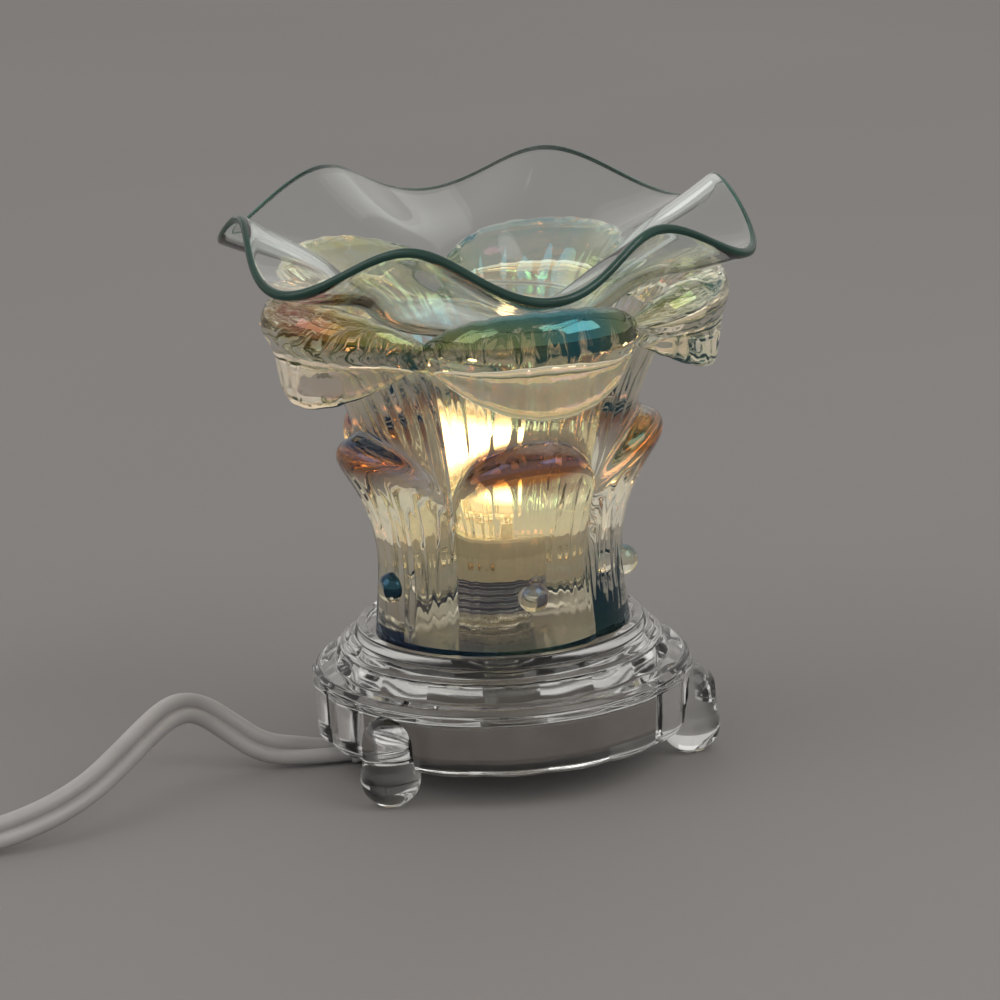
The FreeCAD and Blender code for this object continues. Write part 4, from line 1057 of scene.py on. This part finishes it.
class WARMER_OT_cord(bpy.types.Operator):
    """Run the flat twin cord from its strain relief to the coil and the plug"""

    bl_idname = "warmer.cord"
    bl_label = "Run the Cord"

    def execute(self, context):
        self.cord = context.scene.warmer.cord
        self.finish = finish_named("cord_plastic")
        self.start = Vector(CORD_ROUTE[-1])
        self.heading = (self.start - Vector(CORD_ROUTE[-2])).normalized()
        first = self.spiral_heading(0.0)
        self.turn = first.rotation_difference(self.heading).to_matrix()
        points = [Vector(point) for point in CORD_ROUTE]
        steps = round(self.cord.coil_turns * self.cord.points_per_turn)
        points += [
            self.coil_point(self.cord.coil_turns * step / steps) for step in range(steps + 1)]
        ends = self.plug_points()
        points += ends[1:]
        line = spline_line("cord line", [point * MM for point in points], 8)
        flat_cord = self.flat_cord(line)
        plug = self.plug(ends)
        blades = smooth_copy("blades", "plug_blades", finish_named("spring_brass"), bevel=0.25)
        placed(blades, "base_stand")
        tie = smooth_copy("cord_band", "cord_tie", finish_named("tie_plastic"), bevel=0.15)
        placed(tie, "base_stand")
        self.relief()
        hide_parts("cord_lead", "cord_coil", "cord_end")
        placed(flat_cord, "base_stand")
        return {"FINISHED"}

    def spiral_point(self, turns):
        """A point of the coil about its own centre."""
        cord = self.cord
        away = abs(turns - cord.turns_in)
        climb = min(away, cord.climb_turns) / cord.climb_turns
        dip = cord.coil_dip * math.cos(math.pi * climb / 2) ** 2
        radius = cord.coil_radius - cord.coil_pitch * (cord.turns_in - away) - dip
        share = min(max((turns - cord.turns_in) / cord.climb_turns + 0.5, 0), 1)
        height = cord.layer_pitch * share * share * (3 - 2 * share)
        angle = -2 * math.pi * turns
        return Vector((radius * math.cos(angle), radius * math.sin(angle), height))

    def spiral_heading(self, turns):
        """The coil's heading at a point of it, about its own centre."""
        return (self.spiral_point(turns + 0.125) - self.spiral_point(turns - 0.125)).normalized()

    def coil_point(self, turns):
        """A point of the coil where it lies."""
        first = self.start + self.heading * self.cord.width
        return first + self.turn @ (self.spiral_point(turns) - self.spiral_point(0.0))

    def plug_points(self):
        """The route from the coil to the plug."""
        heading = self.turn @ self.spiral_heading(self.cord.coil_turns)
        start = self.coil_point(self.cord.coil_turns) + heading * self.cord.width
        left = UP.cross(heading)
        return [start + heading * run + left * aside for run, aside in PLUG_ROUTE]

    def section(self):
        """The outline of both cores and the web between them: across and up."""
        cord = self.cord
        core = cord.thickness / 2
        middle = cord.width / 2 - core
        meeting = math.pi - math.asin(cord.web / 2 / core)
        outline = []
        for side in (1, -1):
            for step in range(cord.section_steps + 1):
                angle = meeting - 2 * meeting * step / cord.section_steps
                outline.append((
                    side * (middle + core * math.cos(angle)), side * core * math.sin(angle)))
        return outline

    def flat_cord(self, line):
        """The cord's two cores along its line, its broad side leaning to the front at first."""
        outline = self.section()
        places, leans = zip(*CORD_LEAN)
        rings = []
        along = 0.0
        for number, point in enumerate(line):
            before, after = line[max(number - 1, 0)], line[min(number + 1, len(line) - 1)]
            if number:
                along += (point - before).length / MM
            heading = (after - before).normalized()
            side = UP.cross(heading).normalized()
            rise = heading.cross(side)
            lean = math.radians(float(np.interp(along, places, leans)))
            across = side * math.cos(lean) - rise * math.sin(lean)
            up = rise * math.cos(lean) + side * math.sin(lean)
            rings.append([point / MM + across * x + up * y for x, y in outline])
        return ringed("flat_cord", rings, self.finish, crease=55.0)

    def rounded_ring(self, place, side, width, height, power=3.2, columns=40):
        """A soft-cornered oblong about a point, broad to one side."""
        ring = []
        for column in range(columns):
            angle = 2 * math.pi * column / columns
            x, y = math.cos(angle), math.sin(angle)
            x = math.copysign(abs(x) ** (2 / power), x) * width / 2
            y = math.copysign(abs(y) ** (2 / power), y) * height / 2
            ring.append(place + side * x + UP * y)
        return ring

    def plug(self, ends):
        """Moulded plug with grip ribs on its broad sides."""
        start = ends[-1]
        heading = (ends[-1] - ends[-2]).normalized()
        left = UP.cross(heading)
        sections = (
            (0.0, 9.6, 6.6), (0.4, 10.6, 7.6), (1.2, 11.0, 8.0), (4.0, 11.0, 8.0), (6.5, 12.2, 8.6),
            (9.5, 16.5, 10.6), (12.5, 21.4, 12.6), (15.0, 23.6, 13.2), (17.0, 24.0, 13.4),
            (30.5, 24.0, 13.4), (31.5, 23.6, 13.0), (32.0, 22.4, 11.8))
        body = ringed("plug_moulding", [
            self.rounded_ring(start + heading * along, left, width, height)
            for along, width, height in sections], self.finish, crease=50.0)
        ribs = []
        for face in (1, -1):
            rib = ringed("rib", [
                self.rounded_ring(
                    start + heading * 17.8 + left * across + UP * (face * 6.35), heading, 1.2, 0.7,
                    2.0, 12)
                for across in (-8.0, -7.6, 7.6, 8.0)], self.finish)
            step = heading * 2.3
            ribs.append(repeated(rib, self.cord.plug_ribs, self.finish, step=tuple(step)))
        plug = merged("plug_moulding", [body] + ribs)
        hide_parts("plug_body")
        return placed(plug, "base_stand")

    def relief(self):
        """Strain relief: a neck through the cover, a root and a ribbed tail."""
        yaw = math.radians(RELIEF_YAW)
        back = Vector((-math.cos(yaw), -math.sin(yaw), 0))
        side = UP.cross(back)
        root = Vector((-17.0, 0, 0))
        rings = []
        for step in range(49):
            along = -4.5 + 25.5 * step / 48
            taper = min(max((along - 4.5) / 16.5, 0.0), 1.0)
            height = 8.7 - 4.1 * taper ** 0.75
            width = 11.0 - 1.8 * taper
            past_root = max(along - 8.0, 0.0)
            groove = 0.45 * max(0.0, math.sin(2 * math.pi * past_root / 2.6)) ** 4
            low = 0.7 - 0.6 * taper
            middle = root + back * along + UP * (low + height / 2)
            shrink = 0.6 if step in (0, 48) else 0.0
            rings.append(self.rounded_ring(
                middle, side, width - groove * 2 - shrink, height - groove - shrink, 4.0))
        tail = ringed("relief", rings, self.finish, crease=50.0)
        neck = lathed(
            "neck", ((4.0, 8.9), (4.2, 9.1), (4.2, 10.8), (4.0, 10.9)), self.finish, 48,
            place=Matrix.Translation(root))
        relief = merged("strain_relief", [tail, neck])
        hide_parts("cord_relief")
        return placed(relief, "base_stand")


class WARMER_OT_base(bpy.types.Operator):
    """Press the scalloped glass base with its three feet"""

    bl_idname = "warmer.base"
    bl_label = "Press the Base"

    def execute(self, context):
        glass = context.scene.warmer.glass
        finish = finish_named("clear_glass")
        columns = glass.lobes * glass.lobe_columns
        rings = []
        for radius, height, depth in eased(BASE_OUTLINE, glass.edge_easing, steps=7):
            ring = []
            for column in range(columns):
                azimuth = glass.lobe_azimuth + 360 * column / columns
                swell = abs(math.cos(math.pi * column / glass.lobe_columns))
                ring.append(around(radius - depth * (1 - swell), azimuth, height))
            rings.append(ring)
        base = ringed("pressed_base", rings, finish, looped=True, crease=16.0)
        feet = repeated(self.foot(finish), 3, finish, first_turn=FOOT_AZIMUTH, turn=120)
        combined(base, [feet], crease=16.0)
        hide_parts("glass_base")
        placed(base, "base_stand")
        return {"FINISHED"}

    def foot(self, finish):
        """A bun foot and its round-topped column, at the front before they are turned."""
        outline = [(0.0, 0.0), (2.4, 0.0), (3.4, 0.12)]
        for step in range(3, 15):
            turn = -math.pi / 2 + math.pi * step / 18
            outline.append((7.2 * math.cos(turn) ** 0.8, 6.4 + 6.4 * math.sin(turn)))
        outline = [point for point in outline if point[1] < 9.6]
        outline += [(6.55, 10.6), (6.4, 12.0), (6.4, 15.2)]
        for step in range(1, 10):
            turn = math.pi / 2 * step / 10
            outline.append((6.4 * math.cos(turn), 15.2 + 6.4 * math.sin(turn)))
        return lathed(
            "feet", outline[1:], finish, 48, place=Matrix.Translation((0, -45.2, 0)), crease=30.0)


class WARMER_OT_shade(bpy.types.Operator):
    """Press the petalled lustre glass shade with its leaves and beads"""

    bl_idname = "warmer.shade"
    bl_label = "Press the Shade"

    def execute(self, context):
        glass = context.scene.warmer.glass
        finish = finish_named("lustre_glass")
        shade = ringed("lustre_shade", petal_grid(glass), finish, looped=True, crease=42.0)
        outline = [
            (glass.bead_radius * math.cos(turn), glass.bead_radius * math.sin(turn))
            for turn in (math.pi * step / 20 - math.pi / 2 for step in range(1, 20))]
        place = Matrix.Translation((0, -glass.bead_ring, RECESS_Z + glass.bead_rise)) \
            @ Matrix.Rotation(math.pi / 2, 4, "X")
        bead = lathed("beads", outline, finish, 36, place=place)
        beads = repeated(bead, PETALS, finish, first_turn=PETAL_AZIMUTH, turn=360 / PETALS)
        combined(shade, [beads], crease=42.0)
        # Marks the painted shade and reflection on the leaves' rolled rims
        paint_shade_mark(shade)
        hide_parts("petal_shade")
        placed(shade, "shade")
        return {"FINISHED"}


class WARMER_OT_dish(bpy.types.Operator):
    """Slump the ruffled glass dish"""

    bl_idname = "warmer.dish"
    bl_label = "Slump the Dish"

    def execute(self, context):
        glass = context.scene.warmer.glass
        rings, first, last = dish_grid(glass)
        floor_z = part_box("melt_dish")[0].z / MM
        rings = [ring + np.array([0.0, 0.0, floor_z]) for ring in rings]
        dish = ringed("ruffled_dish", rings, finish_named("dish_glass"), crease=50.0)
        dish.data.materials.append(finish_named("dish_edge"))
        columns = glass.dish_columns
        for face in dish.data.polygons:
            row = face.index // columns
            if first <= row < last:
                face.material_index = 1
        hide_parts("melt_dish")
        placed(dish, "dish")
        return {"FINISHED"}


class WARMER_OT_holder(bpy.types.Operator):
    """Set the ceramic lamp holder, its metal cup, tube, nuts and screws"""

    bl_idname = "warmer.holder"
    bl_label = "Set the Lamp Holder"

    def execute(self, context):
        lamp = context.scene.warmer.lamp
        for name, node, slot, bevel in (
            ("ceramic_lower", "holder_lower", "porcelain", 0.25),
            ("ceramic_upper", "holder_upper", "porcelain", 0.25),
            ("hexagon_nuts", "lock_nuts", "plated_steel", 0.25),
            ("flat_washers", "washers", "plated_steel", 0.15),
            ("contact_a", "contact_left", "spring_brass", 0.0),
            ("contact_b", "contact_right", "spring_brass", 0.0),
        ):
            placed(
                smooth_copy(name, node, finish_named(slot), bevel=bevel), "base_stand")
        self.saddle(lamp)
        self.tube(lamp)
        self.screws()
        return {"FINISHED"}

    def saddle(self, lamp):
        """The pressed metal cup with rolled ridges."""
        finish = finish_named("bright_metal")
        outer = lamp.saddle_radius
        wall = 0.8
        outline = [(5.3, 36.8), (outer - 1.2, 36.8), (outer - 0.4, 37.1), (outer - 0.35, 37.6)]
        ridges = lamp.saddle_ridges * 8
        for step in range(ridges + 1):
            swell = 0.35 * math.cos(2 * math.pi * lamp.saddle_ridges * step / ridges + math.pi)
            outline.append((outer - 0.35 + swell, 38.0 + 7.4 * step / ridges))
        outline += [
            (outer - 0.3, 46.0), (outer - 0.45, 46.2), (outer - wall, 46.1), (outer - wall, 37.6),
            (5.3, 37.6)]
        cup = lathed("metal_cup", outline, finish, 96, looped=True, crease=50.0)
        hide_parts("holder_saddle")
        placed(cup, "base_stand")

    def tube(self, lamp):
        """The tube with its fine thread."""
        finish = finish_named("plated_steel")
        low, high = (corner.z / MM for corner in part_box("threaded_tube"))
        body = lathed(
            "tube", ((3.7, low), (4.55, low), (4.55, high), (3.7, high)), finish, 64, looped=True)
        crest = lathed(
            "crest", ((4.5, 0.0), (4.87, 0.32), (4.87, 0.45), (4.5, 0.77)), finish, 64,
            looped=True, place=Matrix.Translation((0, 0, low + 0.1)))
        count = int((high - low - 0.9) / lamp.thread_pitch) + 1
        crests = repeated(crest, count, finish, step=(0, 0, lamp.thread_pitch))
        tube = merged("thread_tube", [body, crests])
        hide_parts("threaded_tube")
        placed(tube, "base_stand")

    def screws(self):
        """Two slotted brass screws in the ceramic."""
        finish = finish_named("spring_brass")
        radius = 1.25
        face_y = -math.sqrt(CERAMIC_RADIUS ** 2 - (PIN_PITCH / 2 - radius) ** 2)
        screw_z = 52.3 - radius
        pieces = []
        for side in (-1, 1):
            place = Matrix.Rotation(math.radians(HOLDER_AZIMUTH), 4, "Z") @ Matrix.Translation(
                (side * PIN_PITCH / 2, face_y, screw_z)) @ Matrix.Rotation(math.pi / 2, 4, "X")
            head = lathed("head", (
                (0.8, -7.5), (0.8, 0.0), (radius, 0.0), (radius, 0.35), (1.05, 0.6), (0.6, 0.7)),
                finish, 32, place=place, crease=35.0)
            slot_turn = place @ Matrix.Rotation(0.5 + side * 0.7, 4, "Z")
            slot = ringed("slot", [
                [slot_turn @ Vector(corner) for corner in (
                    (-2.0, -0.17, z), (2.0, -0.17, z), (2.0, 0.17, z), (-2.0, 0.17, z))]
                for z in (0.35, 1.5)], finish)
            pieces.append(combined(head, [slot], "DIFFERENCE", 35.0))
        screws = merged("slotted_screws", pieces)
        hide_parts("terminal_screws")
        placed(screws, "base_stand")


class WARMER_OT_bulb(bpy.types.Operator):
    """Fit the two-pin halogen bulb with its lit filament"""

    bl_idname = "warmer.bulb"
    bl_label = "Fit the Bulb"

    def execute(self, context):
        lamp = context.scene.warmer.lamp
        self.capsule(lamp)
        self.filament(lamp)
        pins = smooth_copy("pins", "bulb_pins", finish_named("plated_steel"))
        placed(pins, "bulb")
        return {"FINISHED"}

    def dome(self, radius, high):
        """Outline of a dome up to near its top."""
        turns = [math.pi / 2 * band / 14 for band in range(14)]
        return [
            (radius * math.cos(turn), high - radius + radius * math.sin(turn)) for turn in turns]

    def capsule(self, lamp):
        """The quartz capsule with its flat pinch."""
        finish = finish_named("lamp_glass")
        pinch_z, capsule_z, high = 57.7, 65.1, 89.1 - 0.15
        radius = lamp.capsule_radius
        outline = [(4.1, capsule_z + 0.1), (4.6, capsule_z + 0.5), (5.5, capsule_z + 2.2),
                   (radius, capsule_z + 3.2)] + self.dome(radius, high)
        tube = lathed("capsule", outline, finish, 64)
        pinch = ringed("pinch", [
            [Matrix.Rotation(math.radians(HOLDER_AZIMUTH), 3, "Z") @ Vector((x * grow, y * grow, z))
             for x, y in ((-4.2, -1.2), (-3.9, -1.5), (3.9, -1.5), (4.2, -1.2),
                          (4.2, 1.2), (3.9, 1.5), (-3.9, 1.5), (-4.2, 1.2))]
            for z, grow in (
                (pinch_z, 0.94), (pinch_z + 0.3, 1.0), (capsule_z + 1.0, 1.0),
                (capsule_z + 2.6, 0.98))],
            finish)
        inner = radius - 0.9
        room = lathed(
            "room", [(inner - 1.4, capsule_z + 2.9), (inner - 0.4, capsule_z + 3.4),
                     (inner, capsule_z + 4.2)] + self.dome(inner, high - 0.9), finish, 64)
        combined(tube, [pinch])
        combined(tube, [room], "DIFFERENCE")
        tube.name = "quartz_capsule"
        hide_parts("bulb_glass")
        placed(tube, "bulb")

    def filament(self, lamp):
        """The coiled filament, arched between its two supports."""
        finish = finish_named("filament")
        low, high = (corner.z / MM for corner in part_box("bulb_filament"))
        half, turn_radius, wire_radius = 1.75, 0.42, 0.17
        spin = Matrix.Rotation(math.radians(HOLDER_AZIMUTH), 3, "Z")
        leg = high - low - half - 0.6
        length = 2 * leg + math.pi * half
        steps = lamp.filament_turns * 14
        line = []
        for step in range(steps + 1):
            run = length * step / steps
            if run < leg:
                place, out = Vector((-half, 0, low + run)), Vector((-1, 0, 0))
            elif run > length - leg:
                place, out = Vector((half, 0, low + length - run)), Vector((1, 0, 0))
            else:
                turn = (run - leg) / half
                out = Vector((-math.cos(turn), 0, math.sin(turn)))
                place = Vector((0, 0, low + leg)) + out * half
            angle = 2 * math.pi * lamp.filament_turns * step / steps
            swing = out * math.cos(angle) + Vector((0, math.sin(angle), 0))
            line.append(place + swing * turn_radius)
        rings = []
        for number, point in enumerate(line):
            heading = (line[min(number + 1, steps)] - line[max(number - 1, 0)]).normalized()
            across = heading.cross(Vector((0.1, 0.3, 0.95))).normalized()
            other = heading.cross(across)
            rings.append([
                spin @ (point + (across * math.cos(a) + other * math.sin(a)) * wire_radius)
                for a in (2 * math.pi * side / 6 for side in range(6))])
        coil = ringed("filament_coil", rings, finish)
        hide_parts("bulb_filament")
        placed(coil, "bulb")


class WARMER_OT_wiring(bpy.types.Operator):
    """Lay the wires inside the base and close it with its cover"""

    bl_idname = "warmer.wiring"
    bl_label = "Lay the Wiring"

    def execute(self, context):
        cover = smooth_copy("dark_cover", "bottom_cover", finish_named("cover_plastic"), bevel=0.3)
        placed(cover, "base_stand")
        sleeves = smooth_copy("sleeves", "crimps", finish_named("crimp_plastic"), bevel=0.3)
        placed(sleeves, "base_stand")
        spin = Matrix.Rotation(math.radians(HOLDER_AZIMUTH), 3, "Z")
        leads, tails = [], []
        insulation, jacket = finish_named("lead_insulation"), finish_named("cord_plastic")
        for side in (-1, 1):
            leads.append(wire_piece("lead", (
                spin @ Vector((side * PIN_PITCH / 2, 0, 47.0)),
                spin @ Vector((side * PIN_PITCH / 2, 0, 41.6)),
                spin @ Vector((side * 1.2, 0, 37.6)), Vector((0, -side * 1.2, 24.0)),
                Vector((0, -side * 1.25, 19.0)), Vector((-1.0, -side * 1.875, 12.9)),
                Vector((-4.4, -side * 1.875, 12.7))), 0.9, insulation))
            tails.append(wire_piece("tail", (
                (-17.0, side * 1.875, 10.9), (-17.0, side * 1.875, 12.8),
                (-12.4, side * 1.875, 12.7)), 1.2, jacket))
        wires = merged("lead_wires", leads)
        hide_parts("holder_leads")
        placed(wires, "base_stand")
        split = merged("split_ends", tails)
        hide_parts("cord_tails")
        placed(split, "base_stand")
        return {"FINISHED"}


class WARMER_PT_panel(bpy.types.Panel):
    """The warmer's steps and sizes"""

    bl_idname = "WARMER_PT_panel"
    bl_label = "Wax Melt Warmer"
    bl_space_type = "VIEW_3D"
    bl_region_type = "UI"
    bl_category = "Warmer"

    def draw(self, context):
        for step in STEPS:
            self.layout.operator(step.bl_idname)
        warmer = context.scene.warmer
        for group in (warmer.stage, warmer.cord, warmer.glass, warmer.lamp):
            box = self.layout.box()
            for name in group.__annotations__:
                box.prop(group, name)


STEPS = (
    WARMER_OT_stage, WARMER_OT_cord, WARMER_OT_base, WARMER_OT_holder, WARMER_OT_bulb,
    WARMER_OT_wiring, WARMER_OT_shade, WARMER_OT_dish,
)
GROUPS = (StageSettings, CordSettings, GlassSettings, LampSettings, WarmerSettings)


def register():
    """Registers the settings, the operators and the panel."""
    for item in (*GROUPS, *STEPS, WARMER_PT_panel):
        bpy.utils.register_class(item)
    bpy.types.Scene.warmer = PointerProperty(type=WarmerSettings)


def unregister():
    """Takes them away again."""
    del bpy.types.Scene.warmer
    for item in (WARMER_PT_panel, *reversed(STEPS), *reversed(GROUPS)):
        bpy.utils.unregister_class(item)


def main():
    """Builds the warmer."""
    register()
    bpy.ops.warmer.stage()
    bpy.ops.warmer.cord()
    bpy.ops.warmer.base()
    bpy.ops.warmer.holder()
    bpy.ops.warmer.bulb()
    bpy.ops.warmer.wiring()
    bpy.ops.warmer.shade()
    bpy.ops.warmer.dish()


if __name__ == "__main__":
    main()
